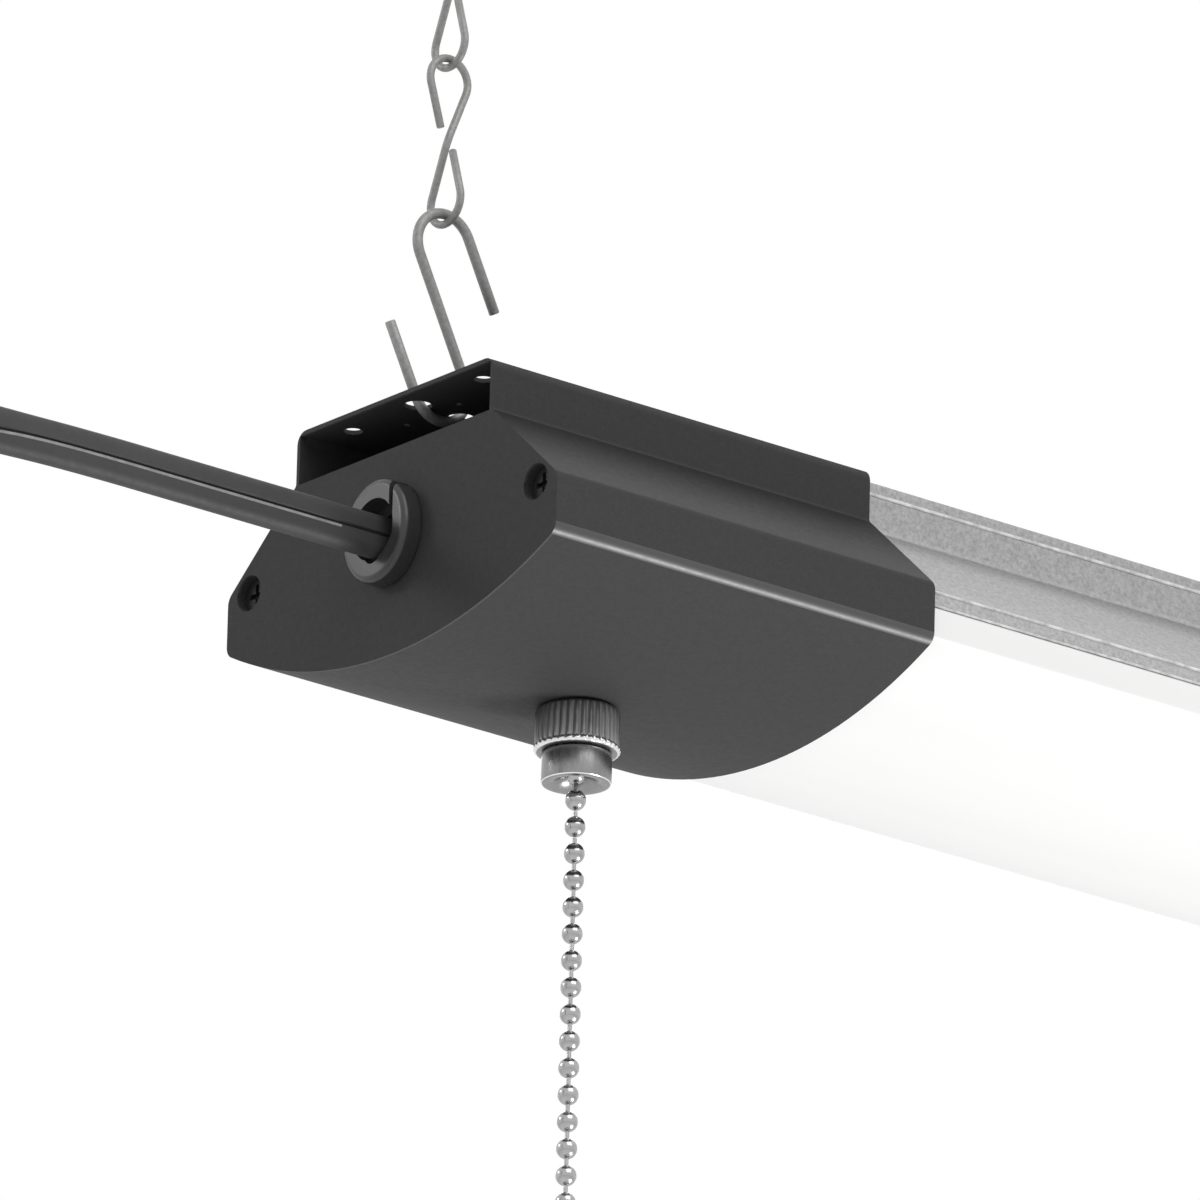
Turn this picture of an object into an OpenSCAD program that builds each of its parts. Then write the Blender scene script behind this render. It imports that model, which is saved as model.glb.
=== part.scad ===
// Hanging shop light with a pull switch, hung from two S-hooks and jack chains.
// X runs along the light, Y across it and Z up. The origin is on the ceiling, midway between the hooks.

/* [Light] */
// Length of the light over both end caps
light_l = 1200; // [600:10:1500]

/* [End cap] */
// Width across the upright sides
cap_w = 78; // [74:0.5:86]
// Length of an end cap along the light
cap_l = 72.6; // [66:0.2:90]
// Thickness of the cap's sheet steel
cap_t = 0.7; // [0.5:0.1:0.9]
// Width of the raised channel on top
chan_w = 46.6; // [44:0.2:50]
// Height of the raised channel above its foot
chan_h = 8.4; // [8:0.1:10]
// Drop of the sloped shoulder
shoulder_h = 14; // [12:0.5:16]
// Height of the upright side
side_h = 8.8; // [8:0.1:11]
// Depth of the curved belly below the sides
belly_h = 9.8; // [8:0.1:12]
// Depth of the hanging pocket at the channel's open end
pocket_l = 22; // [20:0.5:25]
// Bend radius of the channel's top edges
chan_r = 2; // [1.7:0.1:2.5]
// Bend radius between channel and shoulder
foot_r = 0.8; // [0.4:0.1:1.5]
// Bend radius between shoulder and side
side_r = 2.4; // [1.7:0.1:3]
// Bend radius between side and belly
belly_edge_r = 2; // [1.7:0.1:3]

/* [Housing] */
// Thickness of the housing's galvanised sheet
house_t = 0.6; // [0.4:0.1:0.8]
// Gap between the cap's inside and the housing
house_gap = 0.2; // [0.1:0.05:0.4]
// How far the housing sits below the cap's inside
house_drop = 0.5; // [0.3:0.1:0.8]
// Height of the upright lip above the lens
lip_h = 2.1; // [1.6:0.1:2.6]
// Width of the ledge under the lip
ledge_w = 2.6; // [2:0.1:3.5]

/* [Lens] */
// Thickness of the frosted lens
lens_t = 1.2; // [1:0.1:1.6]
// Height of the lens's upright side
lens_side_h = 4.9; // [3.5:0.1:6]
// Depth of the lens's curve below its sides
lens_sag = 8.8; // [6:0.1:9.2]
// How far the lens reaches into each cap
lens_tuck = 17; // [10:0.5:18]

/* [Lamp board] */
// Number of LEDs on each board
led_n = 24; // [12:1:30]
// Width of an LED board
board_w = 20; // [14:1:28]
// Thickness of an LED board
board_t = 1; // [0.8:0.1:1.6]
// Side of a square LED
led_w = 3.5; // [2.8:0.1:5]
// Height of an LED
led_t = 0.8; // [0.6:0.1:1.4]
// Thickness of the tray's sheet
tray_t = 0.5; // [0.4:0.1:0.8]

/* [Driver] */
// Length of the driver case
driver_l = 160; // [120:5:220]
// Width of the driver case
driver_w = 34; // [28:1:38]
// Height of the driver case with its lid
driver_h = 17; // [14:0.5:19]
// Wall of the driver case
driver_t = 1.2; // [0.8:0.1:1.6]

/* [Hanging] */
// Wire of the S-hook
hook_wire = 1.6; // [1.4:0.1:1.8]
// Radius of the S-hook's bends at the wire's middle
hook_r = 5.1; // [4.9:0.1:5.6]
// Half the length of the S-hook's shank
hook_half = 10.1; // [9:0.1:13]
// Length of the S-hook's free ends
hook_leg = 11.9; // [9:0.1:13]
// Diameter of the two S-hook holes
hook_hole_d = 4.2; // [4:0.1:4.4]
// Distance of the first hook hole from the cap's end
hook_hole_x = 4.4; // [4:0.1:5]
// Distance between the two hook holes
hook_hole_pitch = 8.2; // [8:0.1:8.4]
// Wire of the jack chain
chain_wire = 1.2; // [1:0.1:1.3]
// Length of a chain link between its wires' middles
link_l = 26.4; // [22:0.2:32]
// Radius of a link's loops at the wire's middle
loop_r = 3.55; // [3.2:0.05:4]
// Gap left where two wires bear on each other
bear_gap = 0.15; // [0.1:0.01:0.25]
// Wire of the ceiling hook
eye_wire = 3; // [2.6:0.1:3.4]
// Radius of the ceiling hook at the wire's middle
eye_r = 7; // [6:0.1:9]
// Neck of the ceiling hook below the ceiling
eye_neck = 5; // [4:0.5:10]
// Length of the ceiling hook's screw
eye_screw_l = 20; // [15:1:30]

/* [End face] */
// Diameter of a recessed screw's hole
screw_hole_d = 5.6; // [5.3:0.1:5.8]
// Distance of a screw from the cap's side
screw_in = 5; // [4.8:0.1:5.4]
// Height of a screw above the belly's edge
screw_z = 8.6; // [8:0.1:9]
// Diameter of the screw's shank
screw_d = 2.9; // [2.4:0.1:3.2]
// Diameter of the strain relief's head
relief_d = 16.1; // [15.5:0.1:17]
// Width of its head between the flats
relief_flat = 14.9; // [14:0.1:15.4]
// How far its head stands out
relief_h = 3.5; // [2.5:0.1:4.5]
// Height of the strain relief above the belly's edge
relief_z = 9; // [8.6:0.1:9.6]
// Width of the mouth in its head
mouth_w = 9.4; // [9:0.1:9.8]
// Height of the mouth in its head
mouth_h = 10.9; // [10:0.1:11.2]

/* [Top plate] */
// Diameter of the surface mounting holes
mount_hole_d = 2.9; // [2.5:0.1:3.2]
// Distance of a mounting hole from the middle
mount_hole_y = 15.5; // [14:0.1:17]
// Diameter of the pilot holes
pilot_d = 1; // [0.8:0.1:1.4]

/* [Pull switch] */
// Diameter of the knurled nut
nut_d = 12.7; // [12:0.1:14]
// Height of the knurled nut
nut_h = 6.8; // [5:0.1:8]
// Number of knurls round the nut
knurl_n = 36; // [24:1:48]
// Depth of a knurl
knurl_h = 0.3; // [0.2:0.05:0.4]
// Diameter of the ferrule
ferrule_d = 10.6; // [10:0.1:11.5]
// Height of the ferrule below the nut
ferrule_h = 4.9; // [4:0.1:6]
// Bore that the chain runs in
chain_bore = 4; // [3.8:0.1:4.4]
// Outer diameter of the threaded bushing
bushing_d = 7.9; // [7.2:0.1:8.4]
// Length of the switch case along the light
case_l = 26; // [24:0.5:30]
// Width of the switch case
case_w = 20; // [18:0.5:24]
// Height of the switch case
case_h = 20; // [19:0.5:22]
// Wall of the switch case
case_t = 1.5; // [1.2:0.1:1.8]
// Radius of the drum that the chain turns
drum_r = 5; // [4.5:0.1:5.5]
// Width of the drum
drum_w = 5; // [4:0.5:7]

/* [Pull chain] */
// Diameter of a bead
bead_d = 3.2; // [2.8:0.1:3.4]
// Distance between beads
bead_pitch = 4.18; // [3.9:0.02:4.6]
// Wire between two beads
bead_wire = 0.7; // [0.6:0.1:1]
// Number of beads that hang below the first
bead_n = 29; // [14:1:40]
// Diameter of the bell at the chain's end
bell_d = 7.5; // [6:0.5:10]
// Height of the bell
bell_h = 12; // [9:0.5:16]

/* [Cord] */
// Width of the flat cord
cord_w = 6.9; // [6.4:0.1:7]
// Thickness of the flat cord
cord_t = 3.5; // [3:0.1:3.6]
// Radius of the outermost turn at the cord's middle
coil_r = 41.4; // [41:0.1:44]
// Step from one turn to the next
coil_step = 4.1; // [4:0.05:4.3]
// Turns wound inwards before the climb
coil_in_n = 3; // [2:1:3]
// Length of the plug's body
plug_l = 26; // [22:0.5:32]
// Width of the plug's body
plug_w = 22; // [20:0.5:26]
// Thickness of the plug's body
plug_t = 13; // [11:0.5:16]
// Length of the plug's blades
blade_l = 16; // [15:0.5:18]
// Width of a blade
blade_w = 6.4; // [6:0.1:7]
// Thickness of a blade
blade_t = 1.5; // [1.3:0.1:1.7]
// Distance between the blades
blade_pitch = 12.7; // [12.5:0.1:12.9]

/* [Hidden] */
$fn = 48;
// Overrun of every cut past the face that it leaves
over = 0.5;
// Steps in a small bend's arc, and in half the belly's
bend_n = 5;
belly_n = 16;
// Gap where a piece slides into or past another
slip = 0.1;
// Gap between a soft or loose piece and its seat
rest_gap = 0.3;

// Half widths and heights of the cap's section
chan_y = chan_w / 2;
side_y = cap_w / 2;
screw_y = side_y - screw_in;
foot_z = side_h + shoulder_h;
top_z = foot_z + chan_h;
under_z = top_z - cap_t;
slope = shoulder_h / (side_y - chan_y);
fold_k = sqrt(1 + slope * slope) - slope;
belly_r = (side_y * side_y + belly_h * belly_h) / (2 * belly_h);

// The hook's lean lets its two bends hang one above the other
hook_lean = atan(hook_r / hook_half);
hook_span = norm([hook_r, hook_half]);
hook_in = hook_r - hook_wire / 2;
bridge = (hook_hole_pitch - hook_hole_d) / 2;
hook_x = hook_hole_x + hook_hole_pitch / 2;
low_bend_z = under_z + sqrt(hook_in * hook_in - bridge * bridge) - bear_gap;
high_bend_z = low_bend_z + 2 * hook_span;
lower_link_z = high_bend_z + hook_in - chain_wire / 2 - bear_gap;
upper_link_z = lower_link_z + link_l - chain_wire - bear_gap;
eye_bottom_z = upper_link_z + link_l - (chain_wire + eye_wire) / 2 - bear_gap;
ceiling_z = eye_bottom_z + 2 * eye_r + eye_neck;

// A link's short strand leans less than its long one, and ends before the waist
free_lean = 17;
free_gap = 1.6 * chain_wire;
// Its straight wire is a hair thinner than its bends, and starts inside them
strand_d = chain_wire - 0.2 * slip;
strand_in = slip;

// The housing's section is the cap's, set in and down
house_in = cap_t + house_gap;
house_x = pocket_l + rest_gap;
lip_top_z = side_h - fold_k * house_in - house_drop;
lip_z = lip_top_z - lip_h;
lens_y = side_y - house_in - slip;
lens_x = cap_l - lens_tuck;
lens_foot_z = lip_z - lens_side_h;
lens_r = (lens_y * lens_y + lens_sag * lens_sag) / (2 * lens_sag);
ledge_top_z = lip_z + house_t;
tray_z = ledge_top_z + slip;
tray_y = lens_y - house_t - 2 * slip;
tray_top_z = tray_z + tray_t;

// Recessed screws
cup_t = 0.45;
cup_l = 4;
head_d = screw_hole_d - 2 * slip;
head_h = 1.6;
screw_slip = 0.25;
tab_t = 0.8;
tab_w = 8.4;
screw_end = 3;

// Pull switch
switch_x = cap_l / 2;
nut_top_z = -belly_h - slip / 2;
nut_end_z = nut_top_z - nut_h;
ferrule_end_z = nut_end_z - ferrule_h;
lock_h = 2.4;
lock_af = 11.5;
lock_rise = pow(lock_af / cos(30) / 2, 2) / (2 * (belly_r - cap_t));
lock_z = -belly_h + cap_t + lock_rise + slip / 2;
case_z = lock_z + lock_h + slip / 2;
case_mid_x = switch_x + drum_r / 2;
pin_d = 2;
drum_gap = 0.6;
drum_x = switch_x + drum_r + drum_gap;
drum_z = case_z + case_h - case_t - drum_r - 2 * slip - case_t;
mouth_gap = 0.85;
first_bead_z = ferrule_end_z - bead_d / 2 - mouth_gap;
// Beads above the first, and the gap where two beads' wires meet
head_n = 8;
link_gap = 0.2;
bell_top_z = first_bead_z - bead_n * bead_pitch - bead_d / 2;

// Lamp boards, driver and the wires in the housing
wire_d = 2;
board_l = (light_l - 2 * lens_x) / 2 - board_w;
board_gap = board_w / 4;
board_z = tray_z - board_t;
driver_x = cap_l + board_w;
driver_base_h = driver_h - 2 * driver_t;
driver_in_z = tray_top_z + driver_h / 2 - driver_t;
lead_x = driver_x + driver_l + board_w;
lead_pitch = 2 * wire_d;
core_d = cord_t / 2;
core_y = cord_w / 4;
outlet_z = case_z + case_h - case_t - wire_d;

// Strain relief and the cord in it
relief_neck = 0.9;
relief_in = 10;
cord_slot_w = cord_t + 0.5;
cord_slot_h = cord_w + 1.6;
slit_w = 0.9;
slit_y = -3.7;
jaw_z = -0.8;
mouth_z = -0.55;
cord_z = 8;
cord_start_x = 12;

// Cord route past the strain relief, as [x, y, z, quarter turns of twist]
cord_points = [
  [12, 0, 8, 0], [6, 0, 8, 0], [0, 0, 8, 0], [-8, 0, 8, 0], [-16, 0, 8, 0], [-25, 0, 8, 0],
  [-34, 0, 8, 0], [-43, 0, 8, 0], [-52, 0, 8, 0], [-61, 0, 7.9, 0], [-69, 0, 7.7, 0.03],
  [-76, -0.2, 7.4, 0.15], [-83, -0.8, 7, 0.36], [-90, -1.7, 6.4, 0.6], [-97, -2.6, 5.7, 0.82],
  [-104, -3.3, 5, 0.96], [-111, -3.7, 4.4, 1], [-118, -3.75, 4.1, 1], [-123.6, -3.75, 4, 1]
];
coil_x = -124;
coil_top_z = 4;
coil_z = coil_top_z - coil_r;
coil_y = 3.75;
coil_rings = 24;
climb_dip = 3.2;
tail_l = 45;
coil_in_r = coil_r - coil_in_n * coil_step;

steel_grey = [0.78, 0.79, 0.8];
galvanised = [0.72, 0.73, 0.74];
cap_black = [0.2, 0.2, 0.21];
chrome = [0.85, 0.86, 0.88];
black_plastic = [0.1, 0.1, 0.1];

function unit(v) = v / norm(v);

// One corner of an outline, as the points of its bend
function bend(a, b, c, r) =
  r <= 0 ? [b] :
  let (
    u = unit(a - b),
    v = unit(c - b),
    half = acos(u * v) / 2,
    m = b + unit(u + v) * r / sin(half),
    s = b + u * r / tan(half) - m,
    e = b + v * r / tan(half) - m,
    a0 = atan2(s[1], s[0]),
    turn = (atan2(e[1], e[0]) - a0 + 540) % 360 - 180
  )
  [for (i = [0:bend_n]) m + r * [cos(a0 + turn * i / bend_n), sin(a0 + turn * i / bend_n)]];

// Sides of a swept tube, and a round tube closed by flat ends
function tube_faces(n, k) = [for (i = [0:n - 2]) for (j = [0:k - 1]) each [
  [i * k + j, (i + 1) * k + j, i * k + (j + 1) % k],
  [i * k + (j + 1) % k, (i + 1) * k + j, (i + 1) * k + (j + 1) % k]]];

function ring_faces(n, k) = concat(
  [[for (j = [0:k - 1]) j]],
  tube_faces(n, k),
  [[for (j = [k - 1:-1:0]) (n - 1) * k + j]]
);

// Draws along X what is given as a section in Y and Z
module along(x, l) {
  translate([x, 0, 0]) rotate([90, 0, 90]) linear_extrude(l) children();
}

// From the light's own frame, at the front cap's end, to the ceiling
module hung() {
  translate([-light_l / 2, 0, -ceiling_z]) children();
}

module at_rear() {
  translate([light_l, 0, 0]) mirror([1, 0, 0]) children();
}

// Section of the cap or housing, set in by d: half of its outline, from the top's middle to the belly's
function shell_half(d) =
  let (
    centre_y = side_y - belly_edge_r,
    heart_z = belly_r - belly_h,
    reach = belly_r - belly_edge_r,
    centre_z = heart_z - sqrt(reach * reach - centre_y * centre_y),
    last_a = atan2(centre_z - heart_z, centre_y),
    p = [
      [0, top_z - d],
      [chan_y - d, top_z - d],
      [chan_y - d, foot_z - fold_k * d],
      [side_y - d, side_h - fold_k * d],
      [side_y - d, centre_z]
    ],
    r = [0, chan_r - d, foot_r + d, side_r - d]
  )
  concat(
    [for (i = [1:3]) each bend(p[i - 1], p[i], p[i + 1], r[i])],
    [for (i = [0:bend_n]) let (a = last_a * i / bend_n)
      [centre_y, centre_z] + (belly_edge_r - d) * [cos(a), sin(a)]],
    [for (i = [1:belly_n]) let (a = last_a + (-90 - last_a) * i / belly_n)
      [0, heart_z] + (belly_r - d) * [cos(a), sin(a)]]
  );

module shell_section(d) {
  half = shell_half(d);
  polygon(concat(half, [for (i = [len(half) - 2:-1:0]) [-half[i][0], half[i][1]]]));
}

module relief_shape(d, flat) {
  intersection() {
    circle(d = d);
    square([flat, 2 * d], center = true);
  }
}

module cap_shell() {
  pilot_y_shares = [0.5, -0.3];
  difference() {
    along(0, cap_l) shell_section(0);
    difference() {
      along(cap_t, cap_l) shell_section(cap_t);
      // Pocket floor and its back wall stay, and so do the screw cups
      translate([0, -chan_y, foot_z - cap_t]) cube([pocket_l, chan_w, cap_t]);
      translate([pocket_l - cap_t, -chan_y, foot_z - cap_t]) cube([cap_t, chan_w, chan_h + cap_t]);
      for (s = [-1, 1]) translate([0, s * screw_y, screw_z]) rotate([0, 90, 0])
        cylinder(h = cup_l, d = screw_hole_d + 2 * cup_t);
    }
    translate([-over, -chan_y + cap_t, foot_z])
      cube([cap_t + 2 * over, chan_w - 2 * cap_t, chan_h - cap_t]);
    for (s = [-1, 1]) translate([0, s * screw_y, screw_z]) rotate([0, 90, 0]) {
      translate([0, 0, -over]) cylinder(h = cup_l - cap_t + over, d = screw_hole_d);
      cylinder(h = cup_l + over, d = screw_d + 2 * screw_slip);
    }
    for (i = [0, 1]) translate([hook_hole_x + i * hook_hole_pitch, 0, under_z - over])
      cylinder(h = cap_t + 2 * over, d = hook_hole_d);
    for (s = [-1, 1]) translate([hook_hole_x, s * mount_hole_y, under_z - over])
      cylinder(h = cap_t + 2 * over, d = mount_hole_d);
    for (share = pilot_y_shares)
      translate([hook_x, share * mount_hole_y, under_z - over]) cylinder(h = cap_t + 2 * over, d = pilot_d);
  }
}

module front_cap() {
  color(cap_black) hung() difference() {
    cap_shell();
    translate([0, 0, relief_z]) along(-over, cap_t + 2 * over)
      relief_shape(relief_d - 2 * relief_neck + 2 * slip, relief_flat - 2 * relief_neck + 2 * slip);
    translate([switch_x, 0, -belly_h - over]) cylinder(h = 2 * over + 2 * cap_t, d = bushing_d + 2 * slip);
  }
}

module rear_cap() {
  color(cap_black) hung() at_rear() cap_shell();
}

module cap_screws() {
  for (s = [-1, 1]) translate([cup_l - cap_t - slip, s * screw_y, screw_z]) rotate([0, 90, 0])
    difference() {
      union() {
        translate([0, 0, -head_h]) cylinder(h = head_h, d = head_d);
        cylinder(h = house_x + tab_t + screw_end - cup_l + cap_t, d = screw_d);
      }
      for (a = [0, 90]) rotate(a) translate([-head_d / 3, -head_h / 4, -head_h - over])
        cube([head_d * 2 / 3, head_h / 2, head_h / 2 + over]);
    }
}

module front_cap_screws() {
  color(chrome) hung() cap_screws();
}

module rear_cap_screws() {
  color(chrome) hung() at_rear() cap_screws();
}

// The lip turns in to a ledge that carries the tray, above the lens's bead
module housing() {
  house_l = light_l - 2 * house_x;
  color(galvanised) hung() {
    difference() {
      union() {
        along(house_x, house_l) difference() {
          translate([0, -house_drop]) shell_section(house_in);
          translate([0, -house_drop]) shell_section(house_in + house_t);
          translate([-cap_w, lip_z - cap_w]) square([2 * cap_w, cap_w]);
        }
        for (s = [-1, 1]) translate([house_x, s * (side_y - house_in - ledge_w / 2) - ledge_w / 2, lip_z])
          cube([house_l, ledge_w, house_t]);
        for (m = [0, 1], s = [-1, 1]) translate([m * light_l, 0, 0]) mirror([m, 0, 0])
          along(house_x, tab_t) intersection() {
            translate([0, -house_drop]) shell_section(house_in + house_t / 2);
            translate([s * (side_y - house_in - tab_w / 2), lip_z + tab_w / 2])
              square(tab_w, center = true);
          }
      }
      for (m = [0, 1], s = [-1, 1]) translate([m * light_l, 0, 0]) mirror([m, 0, 0])
        translate([house_x - over, s * screw_y, screw_z]) rotate([0, 90, 0])
          cylinder(h = tab_t + 2 * over, d = screw_d + slip);
    }
  }
}

// The lens hangs by a bead on each edge, inside the housing's lip
module lens() {
  heart_z = lens_foot_z + lens_r - lens_sag;
  color([0.95, 0.95, 0.93, 1]) hung() along(lens_x, light_l - 2 * lens_x) difference() {
    intersection() {
      translate([-lens_y, lens_foot_z - 2 * lens_sag]) square([2 * lens_y, lens_side_h + 2 * lens_sag - slip]);
      translate([0, heart_z]) circle(lens_r, $fn = 200);
    }
    intersection() {
      translate([-lens_y + lens_t, lens_foot_z - 2 * lens_sag])
        square([2 * (lens_y - lens_t), lens_side_h + 2 * lens_sag + over]);
      translate([0, heart_z]) circle(lens_r - lens_t, $fn = 200);
    }
  }
}

module led_tray() {
  tray_l = light_l - 2 * lens_x;
  flange = lip_h;
  color("white") hung() difference() {
    along(lens_x, tray_l) difference() {
      translate([-tray_y, tray_z]) square([2 * tray_y, tray_t + flange]);
      translate([-tray_y + tray_t, tray_top_z]) square([2 * (tray_y - tray_t), flange + over]);
      for (s = [-1, 1]) translate([s * (side_y - house_in), tray_top_z + flange])
        rotate(s * 45) square(2 * flange, center = true);
    }
    for (i = [0, 1]) translate([lead_x + i * lead_pitch, 0, tray_z - over])
      cylinder(h = tray_t + 2 * over, d = wire_d + 4 * slip);
  }
}

module led_board() {
  translate([light_l / 2 - board_gap / 2 - board_l, -board_w / 2, board_z]) difference() {
    cube([board_l, board_w, board_t]);
    for (i = [0, 1]) translate([lead_x + i * lead_pitch - light_l / 2 + board_gap / 2 + board_l, board_w / 2, -over])
      cylinder(h = board_t + 2 * over, d = wire_d + 4 * slip);
  }
}

module leds() {
  pitch = board_l / led_n;
  for (i = [0:led_n - 1])
    translate([light_l / 2 - board_gap / 2 - (i + 0.5) * pitch - led_w / 2, -led_w / 2, board_z - led_t])
      cube([led_w, led_w, led_t]);
}

module front_led_board() {
  color("ivory") hung() led_board();
}

module rear_led_board() {
  color("ivory") hung() at_rear() led_board();
}

module front_leds() {
  color("khaki") hung() leds();
}

module rear_leds() {
  color("khaki") hung() at_rear() leds();
}

module driver_case() {
  color("dimgray") hung() translate([driver_x, -driver_w / 2, tray_top_z]) difference() {
    cube([driver_l, driver_w, driver_base_h]);
    translate([driver_t, driver_t, driver_t])
      cube([driver_l - 2 * driver_t, driver_w - 2 * driver_t, driver_h]);
    for (s = [-1, 1]) translate([-over, driver_w / 2 + s * wire_d, driver_h / 2 - driver_t])
      rotate([0, 90, 0]) cylinder(h = driver_t + 2 * over, d = wire_d + 2 * slip);
    for (s = [0, 1]) translate([driver_l - driver_t - over, driver_w / 2 + (2 * s - 1) * wire_d, driver_h / 2 - driver_t])
      rotate([0, 90, 0]) cylinder(h = driver_t + 2 * over, d = wire_d + 2 * slip);
  }
}

module driver_lid() {
  color("gray") hung() translate([driver_x, -driver_w / 2, tray_top_z + driver_base_h]) {
    cube([driver_l, driver_w, driver_t]);
    translate([driver_t + slip, driver_t + slip, -driver_t])
      cube([driver_l - 2 * (driver_t + slip), driver_w - 2 * (driver_t + slip), driver_t]);
  }
}

// A round wire along points given by hand, in the light's frame
module wire(points, d) {
  k = 8;
  n = len(points);
  tube = [for (i = [0:n - 1])
    let (
      t = unit(points[min(i + 1, n - 1)] - points[max(i - 1, 0)]),
      side = unit(cross(t, abs(t[2]) > 0.9 ? [1, 0, 0] : [0, 0, 1])),
      up = cross(side, t)
    )
    each [for (j = [0:k - 1]) points[i] + d / 2 * (cos(360 * j / k) * side + sin(360 * j / k) * up)]];
  polyhedron(tube, ring_faces(n, k));
}

function blend_points(p, n) = [for (i = [0:len(p) - 2]) for (j = [0:n - 1])
  let (
    a = p[max(i - 1, 0)],
    b = p[i],
    c = p[i + 1],
    d = p[min(i + 2, len(p) - 1)],
    t = j / n
  )
  0.5 * (2 * b + (c - a) * t + (2 * a - 5 * b + 4 * c - d) * t * t + (3 * b - a - 3 * c + d) * t * t * t)];

function smooth_points(p, n) = concat(blend_points(p, n), [p[len(p) - 1]]);

module live_wire() {
  color("black") hung() wire(smooth_points([
    [cord_start_x + rest_gap, 0, cord_z + core_y],
    [cord_start_x + core_d, 0, cord_z + core_y],
    [cord_start_x + 3 * core_d, -case_w / 8, cord_z + core_d],
    [case_mid_x - case_l / 2 - 2 * core_d, -case_w / 4, case_z + case_h / 2],
    [case_mid_x - case_l / 2 - core_d, -case_w / 4, case_z + case_h / 2],
    [case_mid_x - case_l / 2 + case_t + slip, -case_w / 4, case_z + case_h / 2]
  ], 3), wire_d - 2 * slip);
}

module switched_wire() {
  color("black") hung() wire(smooth_points([
    [case_mid_x + case_l / 2 - case_t - slip, -wire_d, outlet_z],
    [case_mid_x + case_l / 2 + core_d, -wire_d, outlet_z],
    [case_mid_x + case_l / 2 + 4 * core_d, -wire_d, outlet_z],
    [driver_x - 4 * core_d, -wire_d, driver_in_z],
    [driver_x - core_d, -wire_d, driver_in_z],
    [driver_x + driver_t + slip, -wire_d, driver_in_z]
  ], 3), wire_d - 2 * slip);
}

module neutral_wire() {
  color("white") hung() wire(smooth_points([
    [cord_start_x + rest_gap, 0, cord_z - core_y],
    [cord_start_x + core_d, 0, cord_z - core_y],
    [cord_start_x + 3 * core_d, case_w / 3, cord_z - core_y],
    [case_mid_x - case_l / 2, case_w / 2 + wire_d, cord_z],
    [case_mid_x + case_l / 2, case_w / 2 + wire_d, cord_z + core_d],
    [driver_x - 3 * core_d, wire_d + core_d, driver_in_z],
    [driver_x - core_d, wire_d, driver_in_z],
    [driver_x + driver_t + slip, wire_d, driver_in_z]
  ], 3), wire_d - 2 * slip);
}

module led_leads() {
  color("red") hung() for (i = [0, 1]) let (y = (2 * i - 1) * wire_d, x = lead_x + i * lead_pitch)
    wire(smooth_points([
      [driver_x + driver_l - driver_t - slip, y, driver_in_z],
      [driver_x + driver_l + wire_d, y, driver_in_z],
      [x - 2 * wire_d, y / 2, driver_in_z - wire_d / 2],
      [x - wire_d / 3, 0, tray_top_z + wire_d],
      [x, 0, tray_z],
      [x, 0, board_z + slip]
    ], 4), wire_d - 2 * slip);
}

// The strain relief is a split bushing: a C-shaped body and the jaw that grips the cord
module relief_solid() {
  translate([0, 0, relief_z]) {
    along(-relief_h, relief_h - slip) relief_shape(relief_d, relief_flat);
    along(-slip, relief_in + slip)
      relief_shape(relief_d - 2 * relief_neck, relief_flat - 2 * relief_neck);
  }
}

module upright_slot(w, h) {
  square([w, h - w], center = true);
  for (s = [-1, 1]) translate([0, s * (h - w) / 2]) circle(d = w);
}

// The mouth is wide in the head, and behind it the slot is tight on the cord
module cord_slot() {
  along(-relief_h - over, relief_h + relief_in + 2 * over) translate([0, cord_z])
    upright_slot(cord_slot_w, cord_slot_h);
  along(-relief_h - over, relief_h + over - slip) translate([0, relief_z + mouth_z])
    upright_slot(mouth_w, mouth_h);
}

module strain_relief_body() {
  color(black_plastic) hung() difference() {
    relief_solid();
    cord_slot();
    translate([-relief_h - over, slit_y - slit_w, relief_z + jaw_z - slit_w])
      cube([relief_h + relief_in + 2 * over, relief_d, relief_d]);
  }
}

module strain_relief_jaw() {
  color(black_plastic) hung() difference() {
    relief_solid();
    cord_slot();
    translate([-relief_h - over, slit_y - relief_d, relief_z - relief_d])
      cube([relief_h + relief_in + 2 * over, relief_d, 2 * relief_d]);
    translate([-relief_h - over, slit_y, relief_z + jaw_z - relief_d])
      cube([relief_h + relief_in + 2 * over, relief_d, relief_d]);
  }
}

module tapped(d, h) {
  difference() {
    cylinder(h = h, d = d);
    translate([0, 0, -over]) cylinder(h = h + 2 * over, d = bushing_d + 2 * slip);
  }
}

module switch_case() {
  color([0.15, 0.13, 0.12]) hung() translate([case_mid_x, 0, case_z]) difference() {
    translate([-case_l / 2, -case_w / 2, 0]) cube([case_l, case_w, case_h - case_t]);
    translate([-case_l / 2 + case_t, -case_w / 2 + case_t, case_t])
      cube([case_l - 2 * case_t, case_w - 2 * case_t, case_h]);
    translate([-drum_r / 2, 0, -over]) cylinder(h = case_t + 2 * over, d = bushing_d - 2 * cap_t);
    translate([drum_x - case_mid_x, case_w / 2 + over, drum_z - case_z]) rotate([90, 0, 0])
      cylinder(h = case_w + 2 * over, d = pin_d);
    translate([-case_l / 2 - over, -case_w / 4, case_h / 2]) rotate([0, 90, 0])
      cylinder(h = case_t + 2 * over, d = wire_d);
    translate([case_l / 2 - case_t - over, -wire_d, outlet_z - case_z]) rotate([0, 90, 0])
      cylinder(h = case_t + 2 * over, d = wire_d);
  }
}

module switch_cover() {
  color([0.25, 0.22, 0.2]) hung() translate([case_mid_x - case_l / 2, -case_w / 2, case_z + case_h - case_t])
    cube([case_l, case_w, case_t]);
}

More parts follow.
